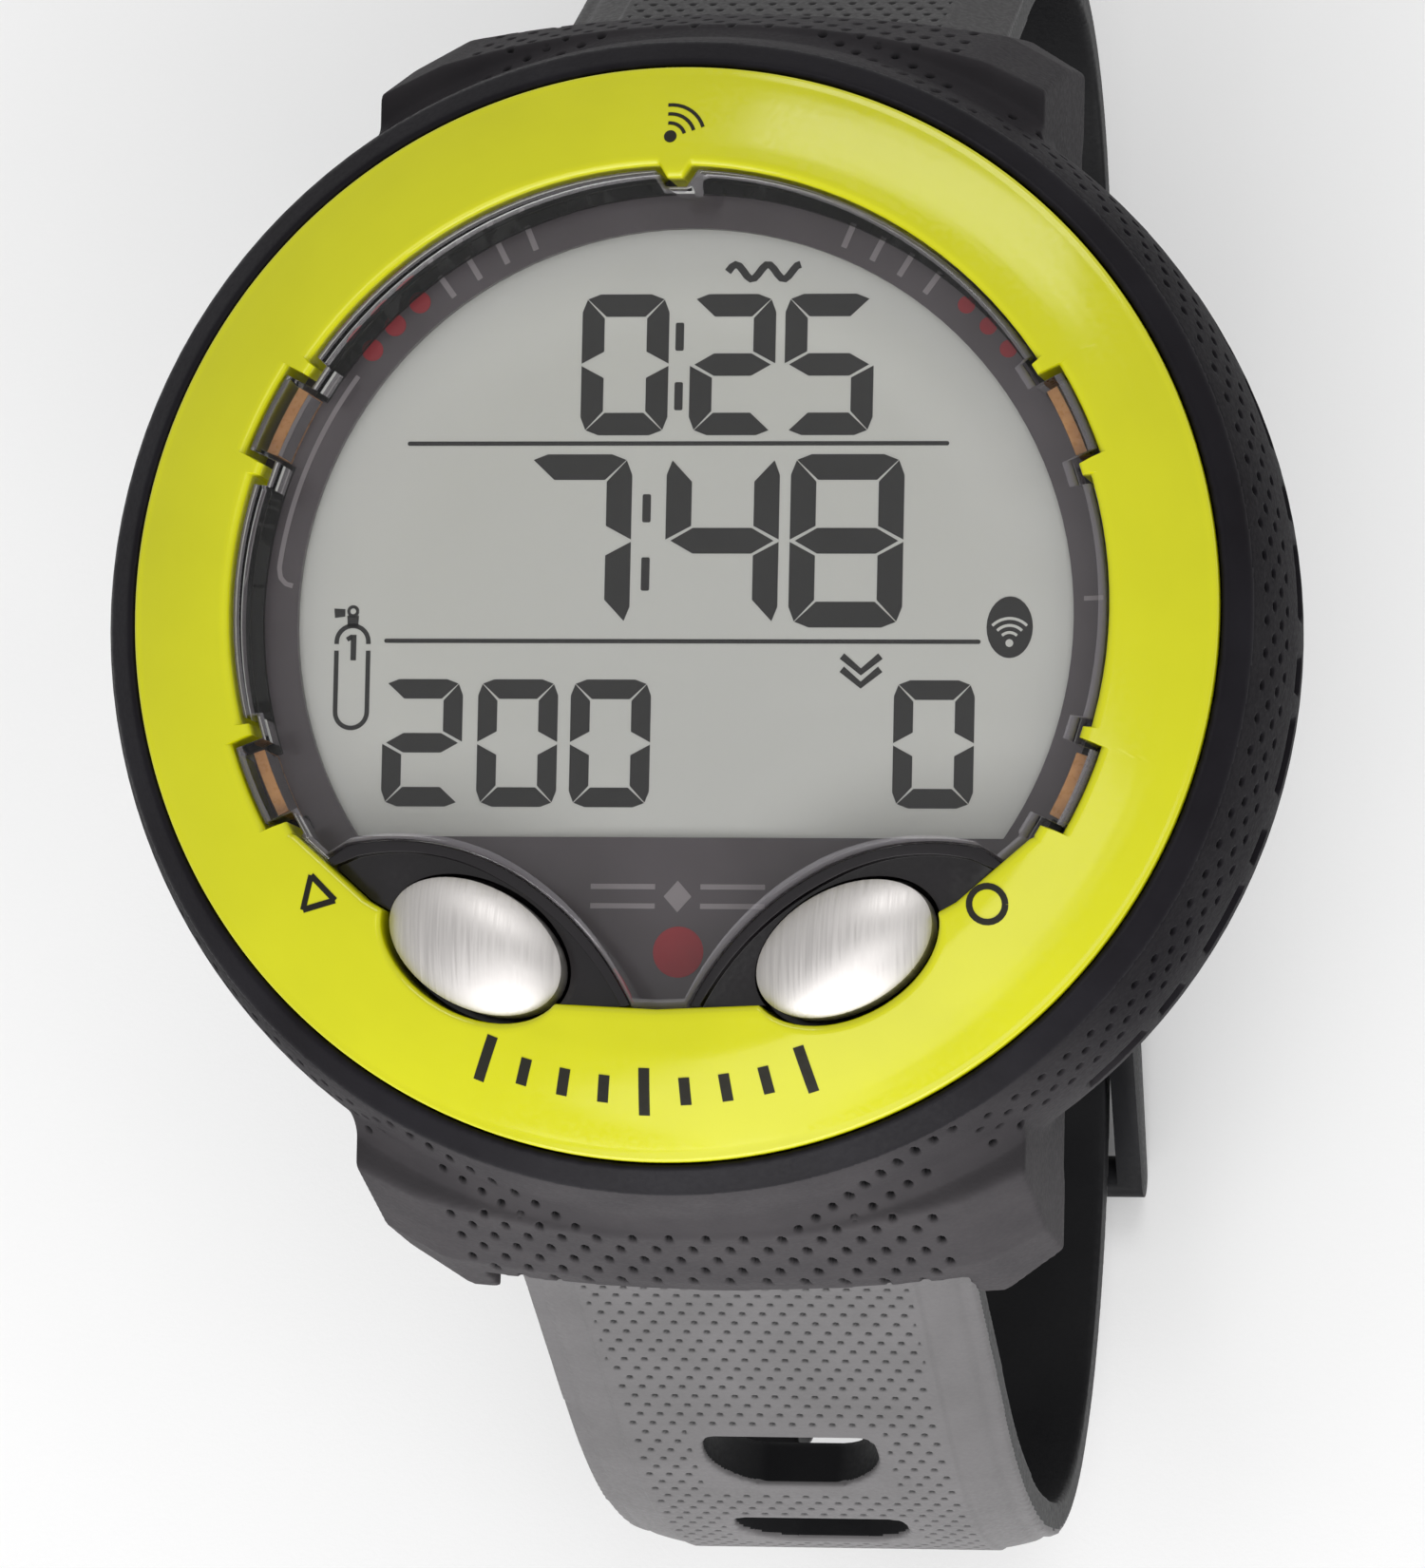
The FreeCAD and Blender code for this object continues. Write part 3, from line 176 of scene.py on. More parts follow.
# Display figures: left edge, right edge and figure, or left edge and figure in the lower row
TOP_FIGURES = ((-6.4, -1.25, "0"), (-0.15, 4.9, "2"), (5.3, 10.55, "5"))
MIDDLE_FIGURES = ((-9.4, -3.2, "7"), (-1.35, 5.3, "4"), (5.8, 12.45, "8"))
LOWER_FIGURES = ((-17.45, "2"), (-11.95, "0"), (-6.6, "0"), (11.95, "0"))
COLON_BARS = ((-0.7, 15.4, 17.0), (-0.7, 12.0, 13.6), (-2.4, 5.6, 7.2), (-2.4, 1.7, 3.6))
BADGE = (18.55, -0.35)
WAVE_ROOT = (18.55, -1.25)
TANK_X = -19.24

# Marks on the dial mask and on the bezel, with turns in degrees
DIAL_TICK_TURNS = (113.0, 117.5, 122.0, 126.5, 54.0, 58.5, 63.0, 67.5)
DIAL_SPOTS = ((130.8, 0.62), (135.4, 0.62), (140.0, 0.62), (48.4, 0.5), (44.2, 0.5), (40.0, 0.5))
BEZEL_TICKS = 9
BEZEL_TICK_PITCH = 4.9
BEZEL_TICK_TURN = -91.5
BEZEL_TICK_R = 27.2


def material_base(name, **values):
    """A material with one Principled shader, its plain numbers set on the shader itself."""
    made = bpy.data.materials.new(name)
    made.use_nodes = True
    shader = made.node_tree.nodes["Principled BSDF"]
    for socket, value in values.items():
        shader.inputs[socket.replace("_", " ")].default_value = value
    return made


def add(made, kind, **values):
    """A new node, with its settings and its plain input numbers."""
    node = made.node_tree.nodes.new(kind)
    for key, value in values.items():
        if hasattr(node, key):
            setattr(node, key, value)
        else:
            node.inputs[key.replace("_", " ")].default_value = value
    return node


def wire(made, output, target):
    """Links an output to an input."""
    made.node_tree.links.new(output, target)


def shader_of(made):
    """The material's Principled shader."""
    return made.node_tree.nodes["Principled BSDF"]


def noise(made, size, detail=3.0, stretch=None):
    """Noise whose blotches are about size millimetres wide, in the piece's own space."""
    place = add(made, "ShaderNodeTexCoord").outputs["Object"]
    if stretch:
        squeeze = add(made, "ShaderNodeMapping")
        squeeze.inputs["Scale"].default_value = stretch
        wire(made, place, squeeze.inputs["Vector"])
        place = squeeze.outputs["Vector"]
    texture = add(made, "ShaderNodeTexNoise", Scale=1 / (size * MM), Detail=detail)
    wire(made, place, texture.inputs["Vector"])
    return texture.outputs["Fac"]


def ramp(made, factor, low, high, start=0.3, end=0.7):
    """Two colours, or two grey levels, blended by a factor."""
    node = add(made, "ShaderNodeValToRGB")
    node.color_ramp.elements[0].position = start
    node.color_ramp.elements[1].position = end
    for element, value in zip(node.color_ramp.elements, (low, high)):
        colour = (value, value, value) if isinstance(value, float) else value
        element.color = (*colour, 1.0)
    wire(made, factor, node.inputs["Fac"])
    return node.outputs["Color"]


def bump(made, height, distance, strength=1.0):
    """Fine relief of the given height in millimetres."""
    node = add(made, "ShaderNodeBump", Distance=distance * MM, Strength=strength)
    wire(made, height, node.inputs["Height"])
    wire(made, node.outputs["Normal"], shader_of(made).inputs["Normal"])


def blend_colour(made, factor, near, far):
    """A colour blended towards another one, which is a socket or a plain colour."""
    node = add(made, "ShaderNodeMix", data_type="RGBA")
    near_socket, far_socket = (s for s in node.inputs if s.type == "RGBA")
    wire(made, factor, node.inputs["Factor"])
    wire(made, near, near_socket)
    if isinstance(far, tuple):
        far_socket.default_value = (*far, 1.0)
    else:
        wire(made, far, far_socket)
    return next(s for s in node.outputs if s.type == "RGBA")


def moulded(
    name, low, high, rough, grain=0.3, relief=0.01, blotch=6.0, shaded_hollows=False, painted_light=None, **values
):
    """Moulded rubber or plastic: blotchy colour, uneven gloss and a fine grain, with painted light where a
    piece is lit and painted shade in its hollows.
    """
    made = material_base(name, **values)
    colour = ramp(made, noise(made, blotch), low, high)
    # Painted light: the colour turns paler where a vertex attribute says the piece is lit.
    if painted_light:
        lit_share = add(made, "ShaderNodeAttribute", attribute_name="painted_light")
        lit_colour = ramp(made, noise(made, 0.6 * blotch), *painted_light)
        colour = blend_colour(made, lit_share.outputs["Fac"], colour, lit_colour)
    # Painted shade: the colour darkens to near black in the dots and recesses, by a vertex attribute.
    if shaded_hollows:
        marks = add(made, "ShaderNodeAttribute", attribute_name="hollow_shade")
        colour = blend_colour(made, marks.outputs["Fac"], colour, (0.003, 0.003, 0.0035))
    wire(made, colour, shader_of(made).inputs["Base Color"])
    fine = noise(made, grain, 4.0)
    wire(made, ramp(made, fine, rough - 0.07, rough + 0.07), shader_of(made).inputs["Roughness"])
    bump(made, fine, relief)
    return made


def metal(name, low, high, rough, stretch=(1.0, 1.0, 1.0), grain=0.35, relief=0.004):
    """Metal with fine scratches along one direction."""
    made = material_base(name, Metallic=1.0)
    lines = noise(made, grain, 5.0, stretch)
    wire(made, ramp(made, lines, low, high), shader_of(made).inputs["Base Color"])
    wire(made, ramp(made, lines, rough - 0.08, rough + 0.1), shader_of(made).inputs["Roughness"])
    bump(made, lines, relief)
    return made


def clear_material(name, tint, shine, haze=0.0):
    """Clear plastic: what is behind it shows through, with a reflection that grows at the rim."""
    made = bpy.data.materials.new(name)
    made.use_nodes = True
    tree = made.node_tree
    tree.nodes.remove(shader_of(made))
    through = add(made, "ShaderNodeBsdfTransparent")
    through.inputs["Color"].default_value = (*tint, 1.0)
    gloss = add(made, "ShaderNodeBsdfGlossy", Roughness=0.03)
    edge = add(made, "ShaderNodeFresnel", IOR=shine)
    mixed = add(made, "ShaderNodeMixShader")
    wire(made, edge.outputs["Fac"], mixed.inputs[0])
    wire(made, through.outputs["BSDF"], mixed.inputs[1])
    wire(made, gloss.outputs["BSDF"], mixed.inputs[2])
    result = mixed
    if haze:
        milk = add(made, "ShaderNodeBsdfDiffuse")
        milk.inputs["Color"].default_value = (0.42, 0.40, 0.43, 1.0)
        result = add(made, "ShaderNodeMixShader")
        result.inputs[0].default_value = haze
        wire(made, mixed.outputs["Shader"], result.inputs[1])
        wire(made, milk.outputs["BSDF"], result.inputs[2])
    target = next(n for n in tree.nodes if n.type == "OUTPUT_MATERIAL")
    wire(made, result.outputs["Shader"], target.inputs["Surface"])
    return made


# The case's black rubber; its paler colour pair is painted light on the hoods.
CASE_RUBBER = moulded(
    "case_rubber",
    (0.008, 0.007, 0.009),
    (0.013, 0.012, 0.014),
    0.6,
    relief=0.02,
    shaded_hollows=True,
    painted_light=((0.045, 0.042, 0.045), (0.055, 0.051, 0.054)),
    Specular_IOR_Level=0.03,
)
CASE_SMOOTH = moulded(
    "case_smooth_rubber",
    (0.006, 0.005, 0.007),
    (0.010, 0.009, 0.012),
    0.42,
    relief=0.008,
    Specular_IOR_Level=0.1,
)
# The strap's black rubber; its paler colour pair is painted light on the strap's front.
STRAP_RUBBER = moulded(
    "strap_rubber",
    (0.014, 0.013, 0.014),
    (0.021, 0.020, 0.021),
    0.48,
    relief=0.02,
    shaded_hollows=True,
    painted_light=((0.108, 0.104, 0.106), (0.124, 0.119, 0.122)),
    Specular_IOR_Level=0.2,
)
# Painted shade: black rubber made darker still, for the strap's inner half and its slots.
STRAP_SHADE = moulded(
    "strap_rubber_painted_shade",
    (0.004, 0.004, 0.005),
    (0.007, 0.007, 0.008),
    0.55,
    relief=0.015,
    Specular_IOR_Level=0.2,
)
YELLOW = moulded(
    "bezel_yellow", (0.535, 0.535, 0.0015), (0.565, 0.565, 0.0025), 0.17, relief=0.002
)
DIAL_MASK = moulded("dial_mask", (0.075, 0.062, 0.068), (0.105, 0.09, 0.1), 0.35, relief=0.004)
LCD_FACE = moulded("lcd_face", (0.745, 0.755, 0.71), (0.765, 0.775, 0.73), 0.38, relief=0.002, blotch=18.0)
LCD_INK = moulded("lcd_ink", (0.009, 0.009, 0.008), (0.014, 0.014, 0.013), 0.45, relief=0.002)
PRINT_DARK = moulded(
    "print_dark", (0.006, 0.005, 0.002), (0.011, 0.010, 0.004), 0.55, relief=0.003, Specular_IOR_Level=0.25
)
PRINT_PALE = moulded("print_pale", (0.26, 0.235, 0.245), (0.33, 0.30, 0.31), 0.5, relief=0.003)
PRINT_RED = moulded("print_red", (0.30, 0.012, 0.022), (0.40, 0.02, 0.03), 0.5, relief=0.003)
GLOSS_BLACK = moulded(
    "gloss_black", (0.006, 0.004, 0.006), (0.010, 0.008, 0.010), 0.2, relief=0.002
)
AMBER = moulded(
    "clip_amber", (0.42, 0.17, 0.035), (0.62, 0.30, 0.09), 0.3, blotch=1.2, relief=0.004, Coat_Weight=0.5
)
BACK_PLASTIC = moulded("back_plastic", (0.022, 0.022, 0.024), (0.034, 0.034, 0.036), 0.45, relief=0.02)
MODULE_PLASTIC = moulded("module_plastic", (0.03, 0.028, 0.03), (0.045, 0.042, 0.045), 0.5, relief=0.01)
BUCKLE_BLACK = moulded(
    "buckle_black", (0.009, 0.009, 0.010), (0.015, 0.015, 0.017), 0.45, relief=0.012, Specular_IOR_Level=0.1
)
GASKET = moulded("gasket_rubber", (0.010, 0.010, 0.010), (0.018, 0.018, 0.018), 0.6, relief=0.01)
BOARD = moulded("board_green", (0.012, 0.085, 0.03), (0.02, 0.13, 0.05), 0.35, blotch=2.0, relief=0.01)
CHIP = moulded("chip_black", (0.012, 0.012, 0.012), (0.02, 0.02, 0.02), 0.55, relief=0.006)
CERAMIC = moulded("antenna_ceramic", (0.62, 0.60, 0.55), (0.70, 0.68, 0.63), 0.5, relief=0.006)
LIGHT_GUIDE = moulded("light_guide", (0.62, 0.66, 0.68), (0.70, 0.74, 0.76), 0.3, relief=0.004)
FRAME_WHITE = moulded("frame_white", (0.66, 0.66, 0.64), (0.74, 0.74, 0.72), 0.5, relief=0.006)
ZEBRA = moulded("zebra_rubber", (0.30, 0.30, 0.31), (0.42, 0.42, 0.43), 0.6, blotch=0.4, relief=0.006)
BUTTON_STEEL = metal(
    "button_steel", (0.60, 0.575, 0.56), (0.68, 0.655, 0.64), 0.5, (1.0, 0.03, 0.03), 0.13, 0.001
)
SCREW_STEEL = metal("screw_steel", (0.45, 0.45, 0.46), (0.62, 0.62, 0.63), 0.3)
SPRING_STEEL = metal("spring_steel", (0.40, 0.40, 0.41), (0.55, 0.55, 0.56), 0.3)
BRASS = metal("brass_contact", (0.55, 0.38, 0.14), (0.72, 0.52, 0.22), 0.3)
BATTERY_STEEL = metal("battery_steel", (0.58, 0.58, 0.59), (0.74, 0.74, 0.75), 0.25)
LENS_CLEAR = clear_material("lens_clear", (0.99, 0.988, 0.991), 1.38)
LENS_EDGE = clear_material("lens_edge", (0.80, 0.78, 0.80), 1.5, 0.2)

NODE_MATERIALS = {
    "module_housing": MODULE_PLASTIC,
    "lens_gasket": GASKET,
    "bezel_clips": AMBER,
    "dial_ring": DIAL_MASK,
    "lcd_glass": LCD_FACE,
    "backlight_panel": LIGHT_GUIDE,
    "lcd_frame": FRAME_WHITE,
    "contact_strips": ZEBRA,
    "circuit_board": BOARD,
    "board_chips": CHIP,
    "board_screws": SCREW_STEEL,
    "radio_antenna": CERAMIC,
    "button_switches": SCREW_STEEL,
    "depth_sensor": SCREW_STEEL,
    "sensor_port_cover": SCREW_STEEL,
    "piezo_buzzer": BRASS,
    "water_contacts": SCREW_STEEL,
    "back_screws": SCREW_STEEL,
    "hatch_seal": GASKET,
    "battery_cell": BATTERY_STEEL,
    "battery_spring_contact": SPRING_STEEL,
    "battery_side_contact": SPRING_STEEL,
    "lug_pin_lower": SCREW_STEEL,
    "lug_pin_upper": SCREW_STEEL,
    "buckle_bar": SCREW_STEEL,
}
for word in ("left", "right"):
    NODE_MATERIALS["button_stem_" + word] = SCREW_STEEL
    NODE_MATERIALS["button_seal_" + word] = GASKET
    NODE_MATERIALS["button_clip_" + word] = SPRING_STEEL


def dress(node, made):
    """Gives a CAD node a finished material in place of its plain one."""
    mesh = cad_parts[node].data
    mesh.materials.clear()
    mesh.materials.append(made)


def finish_piece(name, mesh, made, body, slot, *nodes):
    """Makes a piece of a mesh, with its materials, body and the CAD nodes it stands for; slot is not used.
    """
    piece = bpy.data.objects.new(name, mesh)
    bpy.context.scene.collection.objects.link(piece)
    mesh.materials.clear()
    for entry in made if isinstance(made, (list, tuple)) else [made]:
        mesh.materials.append(entry)
    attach(piece, body)
    if nodes:
        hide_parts(*nodes)
    return piece


def welded(node):
    """A copy of a CAD node's mesh with its faces joined up."""
    shape = bmesh.new()
    shape.from_mesh(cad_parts[node].data)
    bmesh.ops.remove_doubles(shape, verts=shape.verts, dist=1e-6)
    mesh = bpy.data.meshes.new(node + "_welded")
    shape.to_mesh(mesh)
    shape.free()
    return mesh


def with_modifiers(mesh, *settings):
    """The mesh after the modifiers, each given as its type and its settings."""
    carrier = bpy.data.objects.new("carrier", mesh)
    bpy.context.scene.collection.objects.link(carrier)
    for kind, values in settings:
        modifier = carrier.modifiers.new(kind.lower(), kind)
        for key, value in values.items():
            setattr(modifier, key, value)
    evaluated = carrier.evaluated_get(bpy.context.evaluated_depsgraph_get())
    result = bpy.data.meshes.new_from_object(evaluated)
    bpy.data.objects.remove(carrier)
    return result


def remeshed(node, voxel):
    """A CAD node as an even, slightly softened skin."""
    return with_modifiers(
        welded(node),
        ("REMESH", {"mode": "VOXEL", "voxel_size": voxel * MM, "use_smooth_shade": True}),
        ("SMOOTH", {"factor": 0.5, "iterations": 3}),
    )


def soft_copy(node, width=0.25, segments=3):
    """A CAD node with its sharp edges rounded over."""
    mesh = with_modifiers(
        welded(node),
        ("BEVEL", {"width": width * MM, "segments": segments, "limit_method": "ANGLE", "angle_limit": 0.7}),
    )
    mesh.shade_smooth()
    mesh.set_sharp_from_angle(angle=math.radians(32))
    return mesh


def refined(mesh, inside):
    """Splits the faces where finer detail is wanted. inside takes an array of points in millimetres."""
    points = positions(mesh)
    chosen = inside(points)
    shape = bmesh.new()
    shape.from_mesh(mesh)
    edges = [e for e in shape.edges if chosen[e.verts[0].index] and chosen[e.verts[1].index]]
    bmesh.ops.subdivide_edges(shape, edges=edges, cuts=1, use_grid_fill=True)
    shape.to_mesh(mesh)
    shape.free()


def positions(mesh):
    """All vertices in millimetres."""
    flat = np.empty(len(mesh.vertices) * 3, np.float32)
    mesh.vertices.foreach_get("co", flat)
    return flat.reshape(-1, 3).astype(float) / MM


def normals(mesh):
    """All vertex normals."""
    flat = np.empty(len(mesh.vertices) * 3, np.float32)
    mesh.vertex_normals.foreach_get("vector", flat)
    return flat.reshape(-1, 3).astype(float)


def place(mesh, points):
    """Moves the vertices to new places, given in millimetres."""
    mesh.vertices.foreach_set("co", (points * MM).astype(np.float32).ravel())
    mesh.update()


def mark(mesh, name, amount):
    """Keeps a number from 0 to 1 at each vertex, for the material."""
    layer = mesh.attributes.new(name, "FLOAT", "POINT")
    layer.data.foreach_set("value", np.clip(amount, 0, 1).astype(np.float32))


def smooth_step(value):
    """A soft step from 0 to 1 as the value goes from 0 to 1."""
    value = np.clip(value, 0, 1)
    return value * value * (3 - 2 * value)


def lattice(across, along, pitch, row, radius, stretch=1.0):
    """How far into a dot each point is, from 0 outside to 1 at the middle, on staggered rows."""
    best = np.zeros_like(across)
    for shift in (0.0, 0.5):
        nearest_row = (np.round(along / (2 * row) - shift) + shift) * 2 * row
        nearest = (np.round(across / pitch - shift) + shift) * pitch
        away = np.hypot(across - nearest, (along - nearest_row) / stretch)
        best = np.maximum(best, smooth_step((radius - away) / (0.75 * radius)))
    return best


def grip_mask(arc, z):
    """Long and short finger recesses in turn along the case's waist."""
    low, high = GRIP_Z
    middle = (low + high) / 2
    half = (high - low) / 2
    phase = np.mod(arc, GRIP_PITCH)
    result = np.zeros_like(arc)
    for start, length in GRIP_RECESSES:
        inside = np.minimum(phase - start, start + length - phase)
        result = np.maximum(result, smooth_step(inside / 0.45))
    return result * smooth_step((half - np.abs(z - middle)) / 0.5)


def build_case():
    """The rubber case, with the dot grid on hoods and wall and the recesses round its waist."""
    mesh = remeshed("outer_case", CASE_VOXEL)

    def on_hood(points):
        x, y, z = points.T
        low, high = HOOD_ZONE_Z
        return (np.abs(y) > HOOD_FRONT_Y) & (np.abs(x) < HOOD_ZONE_HALF_X) & (z > low) & (z < high)

    def on_wall(points):
        x, y, z = points.T
        low, high = WALL_ZONE_Z
        return (np.hypot(x, y) > WALL_ZONE_R) & (np.abs(x) > WALL_ZONE_HALF_X) & (z > low) & (z < high)

    refined(mesh, lambda points: on_hood(points) | on_wall(points))
    points = positions(mesh)
    facing = normals(mesh)
    x, y, z = points.T
    outward = np.hypot(x, y)
    turn = np.arctan2(y, x)
    level = math.cos(HOOD_ROW_LEAN) * np.abs(y) - math.sin(HOOD_ROW_LEAN) * z
    rise = HOOD_DOT_ROW * np.maximum(0, np.abs(x) - 2.5 * HOOD_DOT_PITCH) / (HOOD_DOT_PITCH / 2)
    below = level - HOOD_DOT_FIRST + rise
    front = on_hood(points) & (facing[:, 1] * np.sign(y) > HOOD_FACING) & (level < HOOD_DOT_LAST)
    front &= (below > -0.3) & ((np.abs(x) < HOOD_DOT_HALF_X) | (below < 0.3))
    across = x + HOOD_DOT_PITCH / 2
    hood_dots = lattice(across, level - HOOD_DOT_FIRST, HOOD_DOT_PITCH, HOOD_DOT_ROW, HOOD_DOT_R) * front
    side = np.where(np.abs(turn) > math.pi / 2, math.pi - np.abs(turn), np.abs(turn))
    flank = on_wall(points) & (side < WALL_DOT_TURN) & (z > WALL_DOT_LOW_Z) & (z < WALL_DOT_HIGH_Z)
    radial = (facing[:, 0] * x + facing[:, 1] * y) / outward
    flank &= radial > WALL_FACING
    arc = turn * CASE_WALL_R
    rows = z - WALL_DOT_HIGH_Z + 0.6
    wall_dots = lattice(arc, rows, WALL_DOT_PITCH, WALL_DOT_ROW, WALL_DOT_R, WALL_DOT_STRETCH) * flank
    gripped = (side < GRIP_TURN) & (outward > GRIP_R) & (radial > WALL_FACING)
    grips = grip_mask(arc, z) * gripped
    dots = np.maximum(hood_dots, wall_dots)
    inward = np.stack([-x / outward, -y / outward, 0 * z], 1)
    hood_in = np.stack([0 * x, -np.sign(y), 0 * z], 1)
    push = CASE_DOT_DEPTH * hood_dots[:, None] * hood_in + CASE_DOT_DEPTH * wall_dots[:, None] * inward
    push += GRIP_DEPTH * grips[:, None] * inward
    place(mesh, points + push)
    # Painted shade in the dots and the grip recesses.
    mark(mesh, "hollow_shade", np.maximum(smooth_step(1.7 * dots), 0.35 * grips))
    # Painted light: the hoods are paler than the wall, the lower one most, as if lit by the front lamps.
    mark(mesh, "painted_light", smooth_step((np.abs(y) - 20.0) / 14.0) * np.where(y < 0, 1.0, UPPER_HOOD_PAINTED_LIGHT))
    finish_piece("case_shell", mesh, [CASE_RUBBER, CASE_SMOOTH], "case", "case_rubber", "outer_case")

    def on_bevel(centres):
        return (np.hypot(centres[:, 0], centres[:, 1]) < CASE_BEVEL_R) & (centres[:, 2] > CASE_BEVEL_Z)

    paint(mesh, on_bevel)


def paint(mesh, chosen):
    """Gives the chosen faces the second material."""
    flat = np.empty(len(mesh.polygons) * 3, np.float32)
    mesh.polygons.foreach_get("center", flat)
    mask = chosen(flat.reshape(-1, 3).astype(float) / MM)
    mesh.polygons.foreach_set("material_index", mask.astype(np.int32))
    mesh.update()


class Route:
    """A strap's centre line in the side view, made of straight runs and bends."""

    def __init__(self, side, straight):
        low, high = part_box("lug_pin_upper" if side > 0 else "lug_pin_lower")
        middle = (low + high) / 2 / MM
        self.side = side
        self.point = np.array([abs(middle.y), middle.z])
        self.lean = math.radians(STRAP_START_LEAN)
        self.length = 0.0
        self.runs = []
        flare = STRAP_LEAN - STRAP_START_LEAN
        self.run(STRAP_ROOT, 0.0)
        self.run(FLARE_R * math.radians(flare), flare)
        self.run(straight, 0.0)
        self.run(SIDE_R * math.radians(STRAP_LEAN), -STRAP_LEAN)
        self.run(CORNER_R * math.radians(CORNER_TURN), -CORNER_TURN)
        self.run(FAR_R * math.radians(FAR_TURN), -FAR_TURN)
        self.run(STRAP_TAIL, 0.0)

    def run(self, length, degrees):
        """Adds a straight run, or a bend that turns by the given degrees over its length."""
        turn = math.radians(degrees)
        self.runs.append((self.point.copy(), self.lean, length, turn, self.length))
        chord = length if turn == 0 else length * math.sin(turn / 2) / (turn / 2)
        heading = self.lean + turn / 2
        self.point += chord * np.array([math.sin(heading), -math.cos(heading)])
        self.lean += turn
        self.length += length

    def locate(self, y, z):
        """Each point's way along the strap, its distance out of the middle and the outward normal."""
        place_yz = np.stack([self.side * y, z], 1)
        best = np.full(len(y), 1e9)
        along = np.zeros(len(y))
        out = np.zeros(len(y))
        lean_at = np.zeros(len(y))
        for start, lean, length, turn, before in self.runs:
            away = place_yz - start
            normal = np.array([math.cos(lean), math.sin(lean)])
            if turn == 0:
                way = away @ np.array([math.sin(lean), -math.cos(lean)])
                offset = away @ normal
            else:
                radius = length / turn
                spoke = away - normal * radius
                reach = np.hypot(*spoke.T)
                unit = -np.sign(radius) * spoke / reach[:, None]
                swing = np.arctan2(unit[:, 1], unit[:, 0]) - lean
                swing = np.mod(swing + math.pi, 2 * math.pi) - math.pi
                way = swing / turn * length
                offset = radius - np.sign(radius) * reach
            beyond = np.maximum(np.maximum(-way, way - length), 0)
            miss = np.hypot(beyond, np.maximum(np.abs(offset) - STRAP_T / 2, 0))
            nearer = miss < best
            best = np.where(nearer, miss, best)
            way = np.clip(way, 0, length)
            along = np.where(nearer, before + way, along)
            out = np.where(nearer, offset, out)
            lean_at = np.where(nearer, lean + turn * way / length, lean_at)
        normal = np.stack([0 * y, self.side * np.cos(lean_at), np.sin(lean_at)], 1)
        return along, out, normal


def slot_middles(side):
    """How far along the strap each slot lies. Only the long strap, on side -1, has slots."""
    return [SLOT_FIRST + index * SLOT_PITCH for index in range(SLOT_COUNT if side < 0 else 0)]


def build_strap(name, node, side, straight, finish_at):
    """A strap with a raised, dotted middle and sloping borders, with painted light on its front and painted
    shade on its inner half and in its slots.
    """
    mesh = remeshed(node, STRAP_VOXEL)
    route = Route(side, straight)
    low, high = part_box(node)
    half_width = high.x / MM
    floor = low.z / MM

    def outside_face(points):
        x, y, z = points.T
        along, out, _ = route.locate(y, z)
        return (out > 0.9) & (along > 1.0) & (np.abs(x) < half_width - STRAP_BORDER + 0.8)

    refined(mesh, outside_face)
    points = positions(mesh)
    x, y, z = points.T
    along, out, normal = route.locate(y, z)
    narrow = np.clip((z - floor - NARROW_ABOVE_FOOT) / (0.0 - floor - NARROW_ABOVE_FOOT), 0, 1)
    half = half_width - 1.0 + narrow
    panel = half - STRAP_BORDER
    beyond = np.abs(x) - panel
    share = np.clip((out + STRAP_T / 2) / STRAP_T, 0, 1)
    steady = smooth_step((along - 1.5) / 2.0)
    drop = STRAP_EDGE_DROP * np.clip(beyond / STRAP_BORDER, 0, 1) ** 1.3
    drop += STRAP_STEP * smooth_step(beyond / 0.3 + 0.5)
    drop += STRAP_STEP * np.exp(-(((np.abs(x) - half + 0.85) / 0.24) ** 2))
    drop = drop * share * steady
    facing = np.einsum("ij,ij->i", normals(mesh), normal)
    face = (out > STRAP_T / 2 - 0.35) & (facing > 0.7) & (beyond < -0.5)
    face &= (along > 4.5) & (along < finish_at)
    for middle in slot_middles(side):
        face &= ~((np.abs(along - middle) < SLOT_PLAIN[0]) & (np.abs(x) < SLOT_PLAIN[1]))
    dots = lattice(x, along, STRAP_DOT_PITCH, STRAP_DOT_ROW, STRAP_DOT_R) * face
    place(mesh, points - normal * (drop + STRAP_DOT_DEPTH * dots)[:, None])
    # Painted shade in the dots.
    mark(mesh, "hollow_shade", 0.85 * smooth_step(1.6 * dots))
    # Painted light: the strap turns paler towards the front, where it faces the lamps.
    mark(mesh, "painted_light", 0.12 + 0.88 * smooth_step((-y - 16.0) / 16.0))
    finish_piece(name, mesh, [STRAP_RUBBER, STRAP_SHADE], "case", "strap_rubber", node)

    # Painted shade: the inner half of the strap and the walls of its slots take the darker material.
    def inner(centres):
        along_here, out_here, _ = route.locate(centres[:, 1], centres[:, 2])
        shaded = out_here < 0.2
        for middle in slot_middles(side):
            away = np.abs(along_here - middle)
            shaded |= (away < SLOT_SHADE[0]) & (np.abs(centres[:, 0]) < SLOT_SHADE[1]) & (out_here < 1.15)
        return shaded

    paint(mesh, inner)


